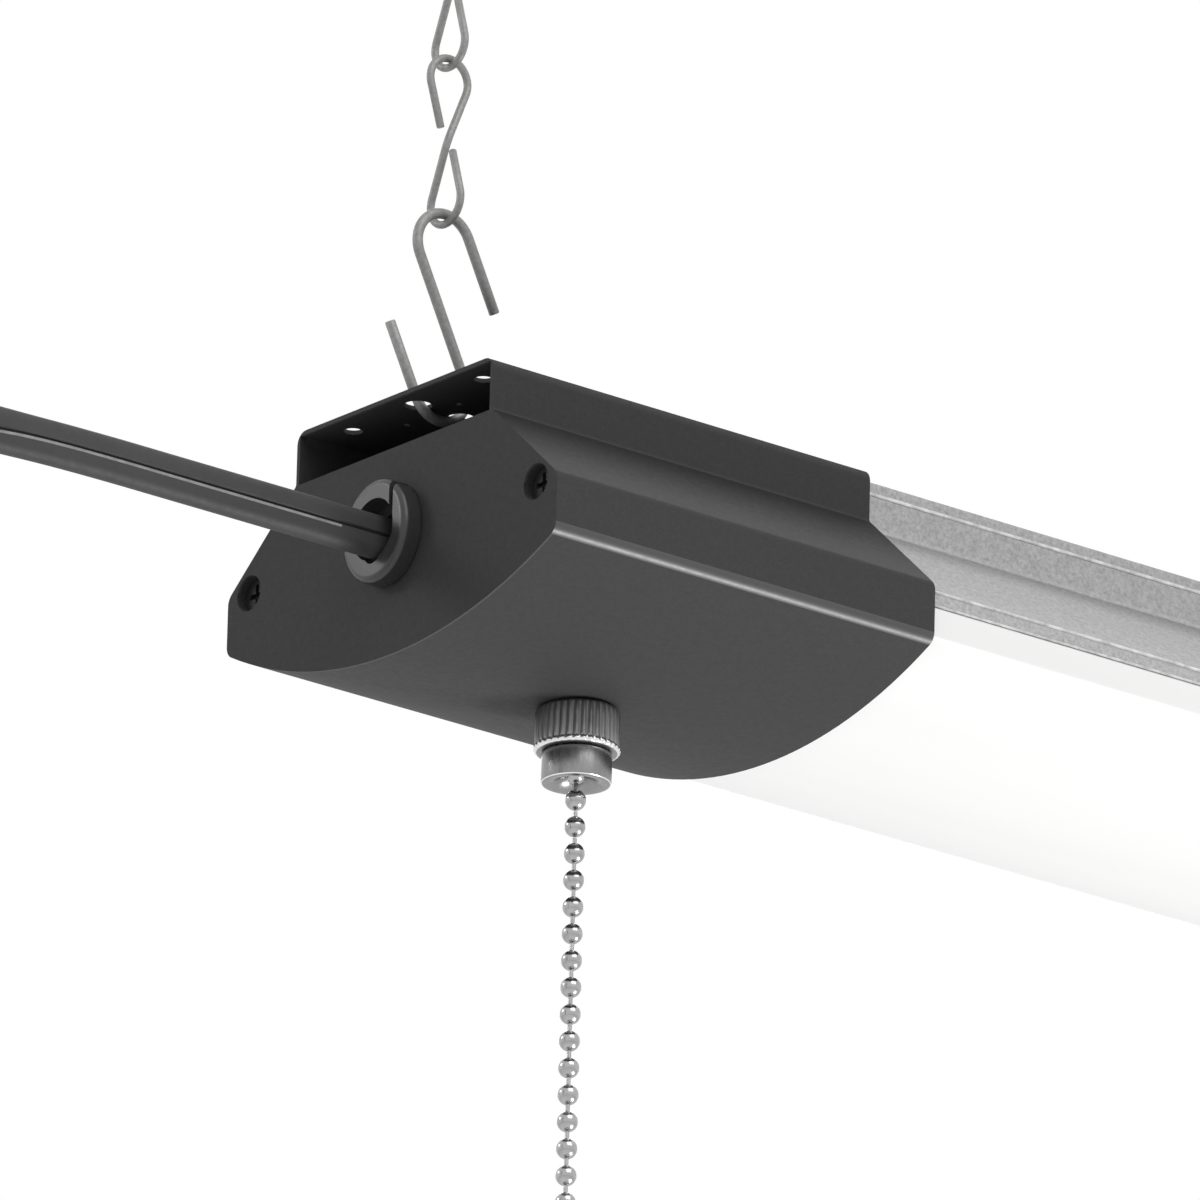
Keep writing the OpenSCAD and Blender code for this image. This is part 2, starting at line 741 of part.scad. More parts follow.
module switch_bushing() {
  color("goldenrod") hung() translate([switch_x, 0, nut_end_z]) difference() {
    cylinder(h = case_z - nut_end_z, d = bushing_d);
    translate([0, 0, -over]) cylinder(h = case_z - nut_end_z + 2 * over, d = chain_bore);
  }
}

module switch_lock_nut() {
  color("goldenrod") hung() translate([switch_x, 0, lock_z]) difference() {
    cylinder(h = lock_h, d = lock_af / cos(30), $fn = 6);
    translate([0, 0, -over]) cylinder(h = lock_h + 2 * over, d = bushing_d + 2 * slip);
  }
}

// The knurled ring nut has a plain shoulder above and a beaded rim below
module switch_nut() {
  rim = nut_h / 8;
  color(steel_grey) hung() translate([switch_x, 0, nut_end_z]) difference() {
    union() {
      translate([0, 0, rim]) linear_extrude(nut_h - 2 * rim) polygon([for (i = [0:2 * knurl_n - 1])
        (nut_d / 2 - (i % 2) * knurl_h) * [cos(180 * i / knurl_n), sin(180 * i / knurl_n)]]);
      translate([0, 0, nut_h - rim - slip]) cylinder(h = rim + slip, d = nut_d - 2 * knurl_h - 2 * slip);
      rotate_extrude() {
        square([nut_d / 2 - knurl_h - slip, rim]);
        translate([nut_d / 2 - rim / 4, rim / 2]) circle(d = rim, $fn = 24);
      }
    }
    translate([0, 0, -over]) cylinder(h = nut_h + 2 * over, d = bushing_d + 2 * slip);
  }
}

// The ferrule's mouth is dished, so that the chain can be pulled from the side
module switch_ferrule() {
  dish = ferrule_d / 2 - chain_bore / 2 - cap_t;
  color(steel_grey) hung() translate([switch_x, 0, ferrule_end_z]) difference() {
    cylinder(h = ferrule_h - slip, d = ferrule_d);
    translate([0, 0, -over]) cylinder(h = ferrule_h + 2 * over, d = chain_bore);
    rotate_extrude() difference() {
      translate([0, -over]) square([chain_bore / 2 + dish, dish + over]);
      translate([chain_bore / 2 + dish, dish]) circle(dish);
    }
  }
}

module switch_drum() {
  color("gray") hung() translate([drum_x, drum_w / 2, drum_z]) rotate([90, 0, 0]) difference() {
    union() {
      cylinder(h = drum_w, r = drum_r - bead_d / 2);
      for (z = [0, drum_w - cap_t]) translate([0, 0, z]) cylinder(h = cap_t, r = drum_r - slip);
    }
    translate([0, 0, -over]) cylinder(h = drum_w + 2 * over, d = pin_d + slip);
  }
}

module drum_pin() {
  color(chrome) hung() translate([drum_x, case_w / 2, drum_z]) rotate([90, 0, 0])
    cylinder(h = case_w, d = pin_d - slip);
}

module beads(top_z, n) {
  span = (n - 1) * bead_pitch;
  for (i = [0:n - 1]) translate([switch_x, 0, top_z - i * bead_pitch]) sphere(d = bead_d, $fn = 24);
  if (n > 1) translate([switch_x, 0, top_z - span]) cylinder(h = span, d = bead_wire);
}

module pull_chain_head() {
  color(chrome) hung() {
    beads(first_bead_z + head_n * bead_pitch, head_n + 1);
  }
}

module pull_chain_joint() {
  color(chrome) hung() {
    beads(first_bead_z - bead_pitch, 1);
    translate([switch_x, 0, first_bead_z - bead_pitch])
      cylinder(h = bead_pitch - bead_d / 2 - link_gap, d = bead_wire);
  }
}

module pull_chain() {
  color(chrome) hung() {
    beads(first_bead_z - 2 * bead_pitch, bead_n - 1);
    translate([switch_x, 0, first_bead_z - 2 * bead_pitch])
      cylinder(h = bead_pitch - bead_d / 2 - link_gap, d = bead_wire);
  }
}

module pull_bell() {
  neck_share = 0.55;
  waist_share = 0.7;
  skirt_share = 0.85;
  color(chrome) hung() translate([switch_x, 0, bell_top_z]) rotate_extrude() polygon([
    [0, 0],
    [bead_d / 2, 0],
    [bell_d / 2 * neck_share, -bell_h / 4],
    [bell_d / 2 * waist_share, -bell_h / 2],
    [bell_d / 2, -bell_h * skirt_share],
    [bell_d / 2, -bell_h],
    [0, -bell_h]
  ]);
}

// The S-hook stands in X and Z, its shank through the origin, before it leans
module s_hook_shape() {
  for (a = [0, 180]) rotate([0, a, 0]) {
    cylinder(h = hook_half, d = hook_wire);
    translate([hook_r, 0, hook_half]) rotate([90, 0, 0]) rotate_extrude(angle = 180)
      translate([hook_r, 0]) circle(d = hook_wire, $fn = 24);
    translate([2 * hook_r, 0, hook_half - hook_leg]) cylinder(h = hook_leg, d = hook_wire);
  }
}

module s_hook() {
  translate([hook_x, 0, low_bend_z + hook_span]) rotate([0, -hook_lean, 0]) s_hook_shape();
}

module front_s_hook() {
  color(steel_grey) hung() s_hook();
}

module rear_s_hook() {
  color(steel_grey) hung() at_rear() s_hook();
}

// Half of a jack-chain link: a loop in Y and Z, its one strand through the waist and the other left short
module link_half() {
  reach = link_l / 2 - loop_r;
  lean = asin(loop_r / reach);
  long_l = reach * cos(lean);
  free_l = (reach - loop_r * sin(free_lean)) / cos(free_lean) - free_gap;
  translate([0, 0, loop_r]) rotate([90, 0, 90]) {
    rotate([0, 0, -180 - free_lean]) {
      rotate_extrude(angle = 180 + free_lean + lean) translate([loop_r, 0]) circle(d = chain_wire, $fn = 24);
      translate([loop_r, strand_in, 0]) rotate([90, 0, 0]) cylinder(h = free_l + strand_in, d = strand_d);
      rotate([0, 0, 180 + free_lean + lean]) translate([loop_r, -strand_in, 0]) rotate([-90, 0, 0])
        cylinder(h = long_l + strand_in, d = strand_d);
    }
  }
}

module link(z) {
  translate([hook_x, 0, z]) {
    link_half();
    translate([0, 0, link_l]) rotate([180, 0, 90]) link_half();
    translate([0, 0, link_l / 2]) sphere(d = chain_wire + 0.4 * slip, $fn = 24);
  }
}

module front_lower_link() {
  color(steel_grey) hung() link(lower_link_z);
}

module rear_lower_link() {
  color(steel_grey) hung() at_rear() link(lower_link_z);
}

module front_upper_link() {
  color(steel_grey) hung() link(upper_link_z);
}

module rear_upper_link() {
  color(steel_grey) hung() at_rear() link(upper_link_z);
}

// The ceiling hook's ring stands in Y and Z, with its screw above the ceiling
module ceiling_hook() {
  open_angle = 60;
  core_share = 0.8;
  translate([hook_x, 0, eye_bottom_z + eye_r]) {
    rotate([90, 0, 90]) rotate([0, 0, 90]) rotate_extrude(angle = 360 - 90 - open_angle + 30)
      translate([eye_r, 0]) circle(d = eye_wire, $fn = 24);
    translate([0, 0, eye_r]) {
      sphere(d = eye_wire, $fn = 24);
      cylinder(h = eye_neck, d = eye_wire);
      translate([0, 0, eye_neck]) cylinder(h = eye_screw_l - eye_wire, d = eye_wire * core_share);
      translate([0, 0, eye_neck + eye_screw_l - eye_wire])
        cylinder(h = eye_wire, d1 = eye_wire * core_share, d2 = eye_wire / 8);
      translate([0, 0, eye_neck - cap_t - slip]) cylinder(h = cap_t, d = 3 * eye_wire);
    }
  }
}

module front_ceiling_hook() {
  color(steel_grey) hung() ceiling_hook();
}

module rear_ceiling_hook() {
  color(steel_grey) hung() at_rear() ceiling_hook();
}

// Section of the two-lobed cord: across its thickness, then across its width
lobe = cord_t / 2;
lobe_mid = (cord_w - cord_t * cos(30)) / 2;
cord_section = [for (s = [1, -1]) for (a = [-60:60:240]) s * [lobe * cos(a), lobe_mid + lobe * sin(a)]];
// A flat tube whose width starts upright and turns about its path by q quarter turns
module flat_tube(points, section, ends) {
  n = len(points);
  k = len(section);
  rings = [for (i = [0:n - 1])
    let (
      p = points[i],
      a = points[max(i - 1, 0)],
      b = points[min(i + 1, n - 1)],
      t = unit([b[0] - a[0], 0, b[2] - a[2]]),
      up = cross([0, 1, 0], t),
      q = 90 * p[3]
    )
    each [for (c = section)
      [p[0], p[1], p[2]] + (c[0] * cos(q) - c[1] * sin(q)) * [0, 1, 0]
      + (c[0] * sin(q) + c[1] * cos(q)) * up]];
  polyhedron(rings, concat(
    [for (e = ends) e],
    tube_faces(n, k),
    [for (e = ends) [for (i = [len(e) - 1:-1:0]) (n - 1) * k + e[i]]]
  ));
}

module power_cord() {
  color("dimgray") hung() flat_tube(cord_points, cord_section, [
    [0, 1, 2, 3, 4, 5],
    [0, 5, 6, 11],
    [6, 7, 8, 9, 10, 11]
  ]);
}

// Radius and layer of the coil after t turns
function coil_radius(t) =
  t < coil_in_n ? coil_r - coil_step * t :
  t < coil_in_n + 0.5 ? coil_in_r - climb_dip * sin(360 * (t - coil_in_n)) :
  coil_in_r + coil_step * (t - coil_in_n - 0.5);

function coil_layer(t) =
  t < coil_in_n ? -coil_y :
  t < coil_in_n + 0.5 ? -coil_y * cos(360 * (t - coil_in_n)) : coil_y;

coil_end_t = 2 * coil_in_n + 0.25;
coil_turn_points = [for (i = [0:coil_end_t * coil_rings]) let (t = i / coil_rings)
  [coil_x + coil_radius(t) * cos(90 + 360 * t), coil_layer(t), coil_z + coil_radius(t) * sin(90 + 360 * t), 1]];
coil_last = coil_turn_points[len(coil_turn_points) - 1];
// Gaps between each station and the one a whole number of turns on
coil_gaps = [for (i = [0:len(coil_turn_points) - 1]) for (j = [i + coil_rings:coil_rings:len(coil_turn_points) - 1])
  let (
    a = norm([coil_turn_points[i][0] - coil_x, coil_turn_points[i][2] - coil_z]),
    b = norm([coil_turn_points[j][0] - coil_x, coil_turn_points[j][2] - coil_z])
  )
  max(abs(a - b) - cord_t, abs(coil_turn_points[i][1] - coil_turn_points[j][1]) - cord_w)];
echo(least_coil_gap = min(coil_gaps));
coil_points = concat(coil_turn_points, [for (i = [1:5]) coil_last + [0, 0, -tail_l * i / 5, 0]]);
flat_section = [
  [0, cord_w / 2], [-cord_t / 2, cord_w / 4], [-cord_t / 2, -cord_w / 4],
  [0, -cord_w / 2], [cord_t / 2, -cord_w / 4], [cord_t / 2, cord_w / 4]
];

module cord_coil() {
  color("dimgray") hung() flat_tube(coil_points, flat_section, [[0, 1, 2, 3, 4, 5]]);
}

module cord_tie() {
  tie_t = 0.9;
  tie_w = 6;
  low = coil_z + coil_in_r - cord_t / 2 - rest_gap - climb_dip * tie_w / coil_in_r;
  high = coil_z + coil_r + cord_t / 2 + rest_gap;
  half = coil_y + cord_w / 2 + rest_gap;
  color("black") hung() translate([coil_x - tie_w / 2, 0, 0]) difference() {
    translate([0, -half - tie_t, low - tie_t]) cube([tie_w, 2 * (half + tie_t), high - low + 2 * tie_t]);
    translate([-over, -half, low]) cube([tie_w + 2 * over, 2 * half, high - low]);
  }
}

// The plug tapers to the cord from a straight front
module plug_body() {
  neck_share = 0.55;
  front_share = 0.25;
  front_l = plug_l * front_share;
  color(black_plastic) hung() translate([coil_last[0], coil_last[1], coil_last[2] - tail_l - plug_l]) {
    translate([0, 0, front_l]) linear_extrude(plug_l - front_l, scale = neck_share)
      square([plug_t, plug_w], center = true);
    translate([-plug_t / 2, -plug_w / 2, 0]) cube([plug_t, plug_w, front_l]);
  }
}

module plug_blades() {
  color(chrome) hung() translate([coil_last[0], coil_last[1], coil_last[2] - tail_l - plug_l])
    for (s = [-1, 1]) translate([-blade_w / 2, s * blade_pitch / 2 - blade_t / 2, -blade_l])
      cube([blade_w, blade_t, blade_l]);
}

front_ceiling_hook();
rear_ceiling_hook();
front_upper_link();
rear_upper_link();
front_lower_link();
rear_lower_link();
front_s_hook();
rear_s_hook();
front_cap();
rear_cap();
front_cap_screws();
rear_cap_screws();
housing();
lens();
led_tray();
front_led_board();
rear_led_board();
front_leds();
rear_leds();
driver_case();
driver_lid();
live_wire();
switched_wire();
neutral_wire();
led_leads();
strain_relief_body();
strain_relief_jaw();
switch_case();
switch_cover();
switch_bushing();
switch_lock_nut();
switch_nut();
switch_ferrule();
switch_drum();
drum_pin();
pull_chain_head();
pull_chain_joint();
pull_chain();
pull_bell();
power_cord();
cord_coil();
cord_tie();
plug_body();
plug_blades();
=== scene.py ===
"""Hanging shop light with a pull switch: the looks of its pieces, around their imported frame."""

from math import asin, atan2, cos, degrees, hypot, radians, sin, tau

import bmesh
import bpy
from bpy.props import FloatProperty, FloatVectorProperty, IntProperty, PointerProperty
from bpy.types import Operator, Panel, PropertyGroup
from mathutils import Matrix, Vector


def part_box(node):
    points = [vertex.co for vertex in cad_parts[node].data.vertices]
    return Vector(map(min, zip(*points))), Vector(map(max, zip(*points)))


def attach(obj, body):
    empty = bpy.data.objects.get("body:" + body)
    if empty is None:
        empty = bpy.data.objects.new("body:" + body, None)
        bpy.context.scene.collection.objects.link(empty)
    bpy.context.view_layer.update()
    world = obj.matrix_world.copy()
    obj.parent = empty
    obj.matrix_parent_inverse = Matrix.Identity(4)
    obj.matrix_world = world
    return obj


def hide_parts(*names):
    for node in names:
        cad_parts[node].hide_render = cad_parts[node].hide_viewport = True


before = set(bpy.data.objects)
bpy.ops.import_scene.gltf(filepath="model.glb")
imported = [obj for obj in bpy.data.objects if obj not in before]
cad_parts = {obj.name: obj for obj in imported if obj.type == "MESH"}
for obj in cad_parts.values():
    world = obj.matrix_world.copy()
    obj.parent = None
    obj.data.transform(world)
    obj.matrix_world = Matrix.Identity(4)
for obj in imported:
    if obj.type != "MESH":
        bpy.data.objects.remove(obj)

bl_info = {
    "name": "Hanging Shop Light",
    "version": (1, 0, 0),
    "blender": (4, 5, 0),
    "location": "3D View > Sidebar > Shop Light",
    "description": "Builds the finished pieces of a hanging shop light around its packed frame",
    "category": "Object",
}

MM = 0.001
X, Y, Z = Vector((1, 0, 0)), Vector((0, 1, 0)), Vector((0, 0, 1))
WHITE = (1, 1, 1, 1)
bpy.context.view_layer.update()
CAP_LOW, CAP_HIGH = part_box("front_cap")
BELLY_DEPTH = 9.8 * MM
LIGHT_X = CAP_LOW.x
LIGHT_Z = CAP_LOW.z + BELLY_DEPTH
LIGHT_LENGTH = -2 * LIGHT_X / MM

# Places of the hanging pieces, in millimetres above the belly's edge and from the front face
HOOK_X = 8.5
LOW_BEND_Z = 34.15657
LOWER_LINK_Z = 60.33576
UPPER_LINK_Z = 85.38576
EYE_BOTTOM_Z = 109.53576
CEILING_Z = -LIGHT_Z / MM
FREE_END_LEAN = 17

# Places of the pull switch, and the reach of the bright rims on its nut and ferrule
SWITCH_X = 36.3
NUT_TOP_Z = -9.85
NUT_BOTTOM_Z = NUT_TOP_Z - 6.8
FERRULE_BOTTOM_Z = NUT_BOTTOM_Z - 4.9
NUT_RIM_HEIGHT, NUT_RIM_WIDTH = 0.95, 0.35
FERRULE_RIM_HEIGHT, FERRULE_RIM_REACH = 0.25, 4.95
FIRST_BEAD_Z = -24.0
BEADS_INSIDE = 8

# The long bend between a cap's side and its belly: its width across the light, and its heights
BEND_WIDTH = 1.3 * MM
BEND_LOW, BEND_HIGH = -0.65 * MM, 1.25 * MM

# The housing's folds: where they start, the side, height and radius of its beads, and its hem
FOLD_START_X = 71.5
FOLD_BEADS = ((37.97, 8.0, 0.24), (37.98, 5.86, 0.2))
HEM_OUTLINE = [(22.2, 26.9), (22.44, 27.3), (22.54, 27.45), (22.54, 27.8), (22.54, 29.1),
               (22.48, 29.3), (22.2, 29.3)]
# Finishes of the hem's faces in turn: 1 is the painted shade of its gap, 2 its painted highlight, 0
# the plain zinc.
HEM_FINISHES = (1, 2, 2, 0, 0, 0, 0, 0, 0)

# Route of the cord from the strain relief to its coil: x, y, z and quarter turns of twist
CORD_ROUTE = [
    *[(x, 0, 8, 0) for x in (12, 6, 0, -8, -16, -25, -34, -43, -52)],
    (-61, 0, 7.9, 0), (-69, 0, 7.7, 0.03), (-76, -0.2, 7.4, 0.15), (-83, -0.8, 7, 0.36),
    (-90, -1.7, 6.4, 0.6), (-97, -2.6, 5.7, 0.82), (-104, -3.3, 5, 0.96), (-111, -3.7, 4.4, 1),
    (-118, -3.75, 4.1, 1),
]
COIL_X = -124
COIL_TOP_Z = 4
COIL_LAYER_Y = 3.75
COIL_TURNS_IN = 3
COIL_CLIMB_TURNS = 0.5
COIL_TURNS = 6.25
COIL_STEP = 4.1
COIL_CLIMB_DIP = 3.2
CORD_TAIL = 45
# The painted highlight on the groove's lower lip: its width, its face in the section, and where it
# starts, short of the strain relief
GROOVE_HIGHLIGHT_W = 0.4 * MM
GROOVE_HIGHLIGHT_FACE = 17
GROOVE_HIGHLIGHT_START_X = -9

# The camera: azimuth, elevation and roll in degrees, and its place in millimetres on its axes
VIEW_ANGLES = (-38.779, -19.278, 1.45)
VIEW_PLACE = (31.157, -1.093, 2799.463)
VIEW_LENS = 567.7

# The stage, in metres, with its lamps: name, place, target, size and power
FLOOR_Z = -1.7
FLOOR_HALF = 9.0
FLOOR_GLOW = 0.4
SURROUND_LIGHT = 0.46
LAMPS = [
    ("key", (-0.7, -1.8, 1.7), (-0.4, 0, -0.1), (2.2, 2.2), 30),
    ("front", (-2.3, 1.5, 0.9), (-0.77, 0, -0.1), (0.55, 0.55), 7.5),
    ("back", (1.0, 2.2, 1.5), (0, 0, -0.1), (2.0, 2.0), 16),
    ("low", (0.04, -0.49, -1.08), (-0.6, 0, -0.13), (0.5, 0.22), 9.5),
]


def length_of(name, description, default, **limits):
    """A length, in metres, that can be changed in the sidebar."""
    return FloatProperty(name=name, description=description, default=default, subtype="DISTANCE",
                         unit="LENGTH", precision=5, **limits)


def colour_of(name, description, default):
    """A finish's colour that can be changed in the sidebar."""
    return FloatVectorProperty(name=name, description=description, default=default, size=3,
                               min=0, max=1, subtype="COLOR")


class LightSizes(PropertyGroup):
    """Sizes of the pieces that are made here."""

    edge: length_of("Sheet edge", "Rounding of the sheet metal's cut edges", 0.00018,
                    min=0.00005, max=0.0003)
    hook_wire: length_of("S-hook wire", "Diameter of the S-hooks' wire", 0.0016)
    hook_bend: length_of("S-hook bend", "Radius of the S-hooks' bends", 0.0051)
    hook_half: length_of("S-hook half shank", "Half the length of an S-hook's shank", 0.0101)
    hook_leg: length_of("S-hook leg", "Length of an S-hook's free ends", 0.0119)
    chain_wire: length_of("Chain wire", "Diameter of the jack chain's wire", 0.0012)
    link_length: length_of("Link length", "Length of a link between its wires' middles", 0.0264)
    loop_radius: length_of("Link loop", "Radius of a link's loops", 0.00355)
    eye_wire: length_of("Ceiling hook wire", "Diameter of the ceiling hooks' wire", 0.003)
    eye_radius: length_of("Ceiling hook radius", "Radius of the ceiling hooks' rings", 0.007)
    nut_diameter: length_of("Switch nut", "Diameter of the knurled nut", 0.0127)
    knurls: IntProperty(name="Knurls", description="Number of knurls round the nut", default=36,
                        min=24, max=60)
    bead: length_of("Bead", "Diameter of a bead of the pull chain", 0.0032)
    bead_pitch: length_of("Bead pitch", "Distance between two beads", 0.00418)
    bead_wire: length_of("Bead wire", "Diameter of the wire between two beads", 0.0007)
    beads: IntProperty(name="Beads", description="Number of beads below the first", default=29,
                       min=14, max=40)
    cord_width: length_of("Cord width", "Width of the flat two-lobed cord", 0.0069)
    cord_thickness: length_of("Cord thickness", "Thickness of the flat cord", 0.0035)
    coil_radius: length_of("Coil radius", "Radius of the coil's outermost turn", 0.0414)


class LightFinishes(PropertyGroup):
    """Colours of the light's finishes."""

    paint: colour_of("Cap paint", "Powder coat of the end caps", (0.043, 0.043, 0.0435))
    galvanised: colour_of("Galvanised sheet", "Zinc coat of the housing", (0.44, 0.44, 0.44))
    lens: colour_of("Lens", "Frosted white plastic of the lens", (0.88, 0.88, 0.875))
    wire: colour_of("Zinc wire", "Plated wire of the hooks and chains", (0.30, 0.30, 0.295))
    nickel: colour_of("Nickel", "Plating of the switch's nut and ferrule", (0.28, 0.28, 0.282))
    beads: colour_of("Beads", "Plating of the bead chain", (0.42, 0.42, 0.42))
    jacket: colour_of("Cord jacket", "Soft plastic of the cord", (0.036, 0.036, 0.037))
    plastic: colour_of("Moulded plastic", "Strain relief, plug and tie", (0.040, 0.040, 0.041))


def sizes():
    return bpy.context.scene.shop_light_sizes


def finishes():
    return bpy.context.scene.shop_light_finishes


# Places

def at(x, y, z):
    """A point given in millimetres from the light's front face, its middle and its belly's edge."""
    return Vector((LIGHT_X + x * MM, y * MM, LIGHT_Z + z * MM))


def turned_steps(first, last, count):
    """The angles in radians of a turn from first to last, in degrees, by count steps."""
    return [radians(first + (last - first) * i / count) for i in range(count + 1)]


def arc(centre, radius, first, last, count, across=X, up=Z):
    """Points of an arc, its angles in degrees from across towards up."""
    return [centre + radius * (cos(a) * across + sin(a) * up)
            for a in turned_steps(first, last, count)]


def smooth_route(points, count):
    """A smooth line through points of any number of values, with count steps between two."""
    line = []
    last = len(points) - 1
    for i in range(last):
        near = [points[min(max(j, 0), last)] for j in range(i - 1, i + 3)]
        for t in (j / count for j in range(count)):
            line.append(tuple(
                0.5 * (2 * q + (r - p) * t + (2 * p - 5 * q + 4 * r - s) * t ** 2
                       + (3 * q - p - 3 * r + s) * t ** 3)
                for p, q, r, s in zip(*near)))
    return line + [tuple(points[-1])]


def curved_to(start, corner, end, count, first=0):
    """Points of a bend from start to end that leans towards a corner, from its step first on."""
    return [start * (1 - t) ** 2 + corner * 2 * t * (1 - t) + end * t ** 2
            for t in (i / count for i in range(first, count + 1))]


def rounded_corner(a, b, c, reach, count=6):
    """Points of a bend that leaves a-b at reach before b, and joins b-c at reach after it."""
    return curved_to(b + (a - b).normalized() * reach, b, b + (c - b).normalized() * reach, count)


def rounded_ring(centre, half_u, half_v, corner, across, up, steps=5):
    """Points of a rounded rectangle."""
    ring = []
    for su, sv, first in ((1, 1, 0), (-1, 1, 90), (-1, -1, 180), (1, -1, 270)):
        middle = centre + su * (half_u - corner) * across + sv * (half_v - corner) * up
        ring += arc(middle, corner, first, first + 90, steps, across, up)
    return ring


# Meshes

def finished_mesh(bm):
    """The mesh that a bmesh's faces go into, shaded smooth."""
    mesh = bpy.data.meshes.new("mesh")
    bm.to_mesh(mesh)
    bm.free()
    mesh.shade_smooth()
    return mesh


def mesh_from(points, faces):
    bm = bmesh.new()
    corners = [bm.verts.new(p) for p in points]
    for face in faces:
        bm.faces.new([corners[i] for i in face])
    bmesh.ops.recalc_face_normals(bm, faces=bm.faces)
    return finished_mesh(bm)


def ringed_mesh(rings, closed=False):
    """A mesh that joins equal rings one to the next. Open runs are closed by a face at each end."""
    count, k = len(rings), len(rings[0])
    faces = []
    for i in range(count if closed else count - 1):
        for j in range(k):
            n, m = (i + 1) % count * k, (j + 1) % k
            faces.append((i * k + j, i * k + m, n + m, n + j))
    if not closed:
        faces += [tuple(range(k)), tuple((count - 1) * k + j for j in reversed(range(k)))]
    return mesh_from([p for ring in rings for p in ring], faces)


def wire_mesh(line, radius, sides=16):
    """A round wire along a line, with square-cut ends whose edges are broken."""
    broken = radius * 0.18
    last = len(line) - 1
    side = (line[1] - line[0]).normalized().orthogonal().normalized()
    rings = []
    for i, p in enumerate(line):
        along = (line[min(i + 1, last)] - line[max(i - 1, 0)]).normalized()
        side = (side - along * side.dot(along)).normalized()
        up = along.cross(side)
        stations = [(p, radius)]
        if i == 0:
            stations = [(p, radius - broken), (p + along * broken, radius)]
        elif i == last:
            stations = [(p - along * broken, radius), (p, radius - broken)]
        rings += [[middle + r * (cos(tau * j / sides) * side + sin(tau * j / sides) * up)
                   for j in range(sides)] for middle, r in stations]
    return ringed_mesh(rings)


def turned_mesh(profile, centre, segments=48, ridges=0, loop=False):
    """A profile of radius, height and at times a ridge's depth, in millimetres, turned about Z.

    It runs from the axis back to the axis, or is a loop round a bore.
    """
    points, faces, rows = [], [], []
    for r, z, *depth in profile:
        if r == 0:
            rows.append([len(points)] * segments)
            points.append(centre + z * MM * Z)
            continue
        rows.append(list(range(len(points), len(points) + segments)))
        for i in range(segments):
            a = tau * i / segments
            cut = depth[0] * (0.5 - 0.5 * cos(ridges * a)) if depth else 0
            points.append(centre + MM * Vector(((r - cut) * cos(a), (r - cut) * sin(a), z)))
    for a, b in zip(rows, rows[1:] + rows[:1] if loop else rows[1:]):
        for i in range(segments):
            j = (i + 1) % segments
            faces.append(tuple(dict.fromkeys((a[i], a[j], b[j], b[i]))))
    return mesh_from(points, faces)


def joined_mesh(*meshes):
    """One mesh of several closed ones."""
    bm = bmesh.new()
    for mesh in meshes:
        bm.from_mesh(mesh)
        bpy.data.meshes.remove(mesh)
    return finished_mesh(bm)


def mirrored_mesh(mesh):
    """The same mesh for the light's other end."""
    copy = mesh.copy()
    copy.transform(Matrix.Scale(-1, 4, X))
    copy.flip_normals()
    return copy


def cad_mesh(node):
    """A CAD node's mesh as plain faces, with its flat faces joined up."""
    bm = bmesh.new()
    bm.from_mesh(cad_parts[node].data)
    bmesh.ops.remove_doubles(bm, verts=bm.verts, dist=1e-6)
    bmesh.ops.dissolve_limit(bm, angle_limit=radians(0.5), verts=bm.verts, edges=bm.edges)
    return finished_mesh(bm)


def placed(name, data):
    """A new object in the scene."""
    obj = bpy.data.objects.new(name, data)
    bpy.context.scene.collection.objects.link(obj)
    return obj


def carved(mesh, cutters):
    """A mesh with other meshes cut out of it."""
    solid, *tools = [placed("carving", each) for each in (mesh, *cutters)]
    for tool in tools:
        cut = solid.modifiers.new("Cut", "BOOLEAN")
        cut.operation, cut.solver, cut.object = "DIFFERENCE", "EXACT", tool
    seen = solid.evaluated_get(bpy.context.evaluated_depsgraph_get())
    result = bpy.data.meshes.new_from_object(seen)
    for obj in [solid] + tools:
        bpy.data.meshes.remove(obj.data)
    result.shade_smooth()
    return result


def piece(name, mesh, material, replaced=(), body="light", sharp=None):
    """A finished piece on its body, with its material, slot and the CAD nodes that it replaces.

    Its edges over sharp degrees aren't shaded smooth.
    """
    mesh.name = name
    obj = placed(name, mesh)
    mesh.materials.clear()
    mesh.materials.append(material)
    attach(obj, body)
    if replaced:
        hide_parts(*replaced)
    if sharp is not None:
        mesh.set_sharp_from_angle(angle=radians(sharp))
    return obj


def mark_faces(obj, material, chosen):
    """Adds a second finish for the faces that are chosen by their corners."""
    obj.data.materials.append(material)
    points = obj.data.vertices
    for face in obj.data.polygons:
        if all(chosen(points[i].co) for i in face.vertices):
            face.material_index = len(obj.data.materials) - 1


def break_edges(obj, width, segments=2, angle=32, finish=-1):
    """Rounds the piece's sharp edges and keeps its flat faces flat."""
    bevel = obj.modifiers.new("Broken edges", "BEVEL")
    bevel.width = width
    bevel.segments = segments
    bevel.limit_method = "ANGLE"
    bevel.angle_limit = radians(angle)
    bevel.material = finish
    normals = obj.modifiers.new("Flat faces", "WEIGHTED_NORMAL")
    normals.weight = 90


# Finishes

def give(tree, node, inputs):
    """Sets a node's inputs to values, or links them to other nodes' outputs."""
    for name, value in inputs.items():
        if isinstance(value, bpy.types.NodeSocket):
            tree.links.new(value, node.inputs[name])
        else:
            node.inputs[name].default_value = value


def add_node(tree, kind, inputs, **settings):
    """A new shader node with its settings and inputs."""
    node = tree.nodes.new("ShaderNode" + kind)
    for name, value in settings.items():
        setattr(node, name, value)
    give(tree, node, inputs)
    return node


def seen_rays(tree):
    """1 for the camera's, glossy and transmission rays, and 0 for the rest."""
    rays = add_node(tree, "LightPath", {}).outputs
    seen = rays["Is Camera Ray"]
    for name in ("Is Glossy Ray", "Is Transmission Ray"):
        seen = add_node(tree, "Math", {0: seen, 1: rays[name]}, operation="MAXIMUM").outputs[0]
    return seen


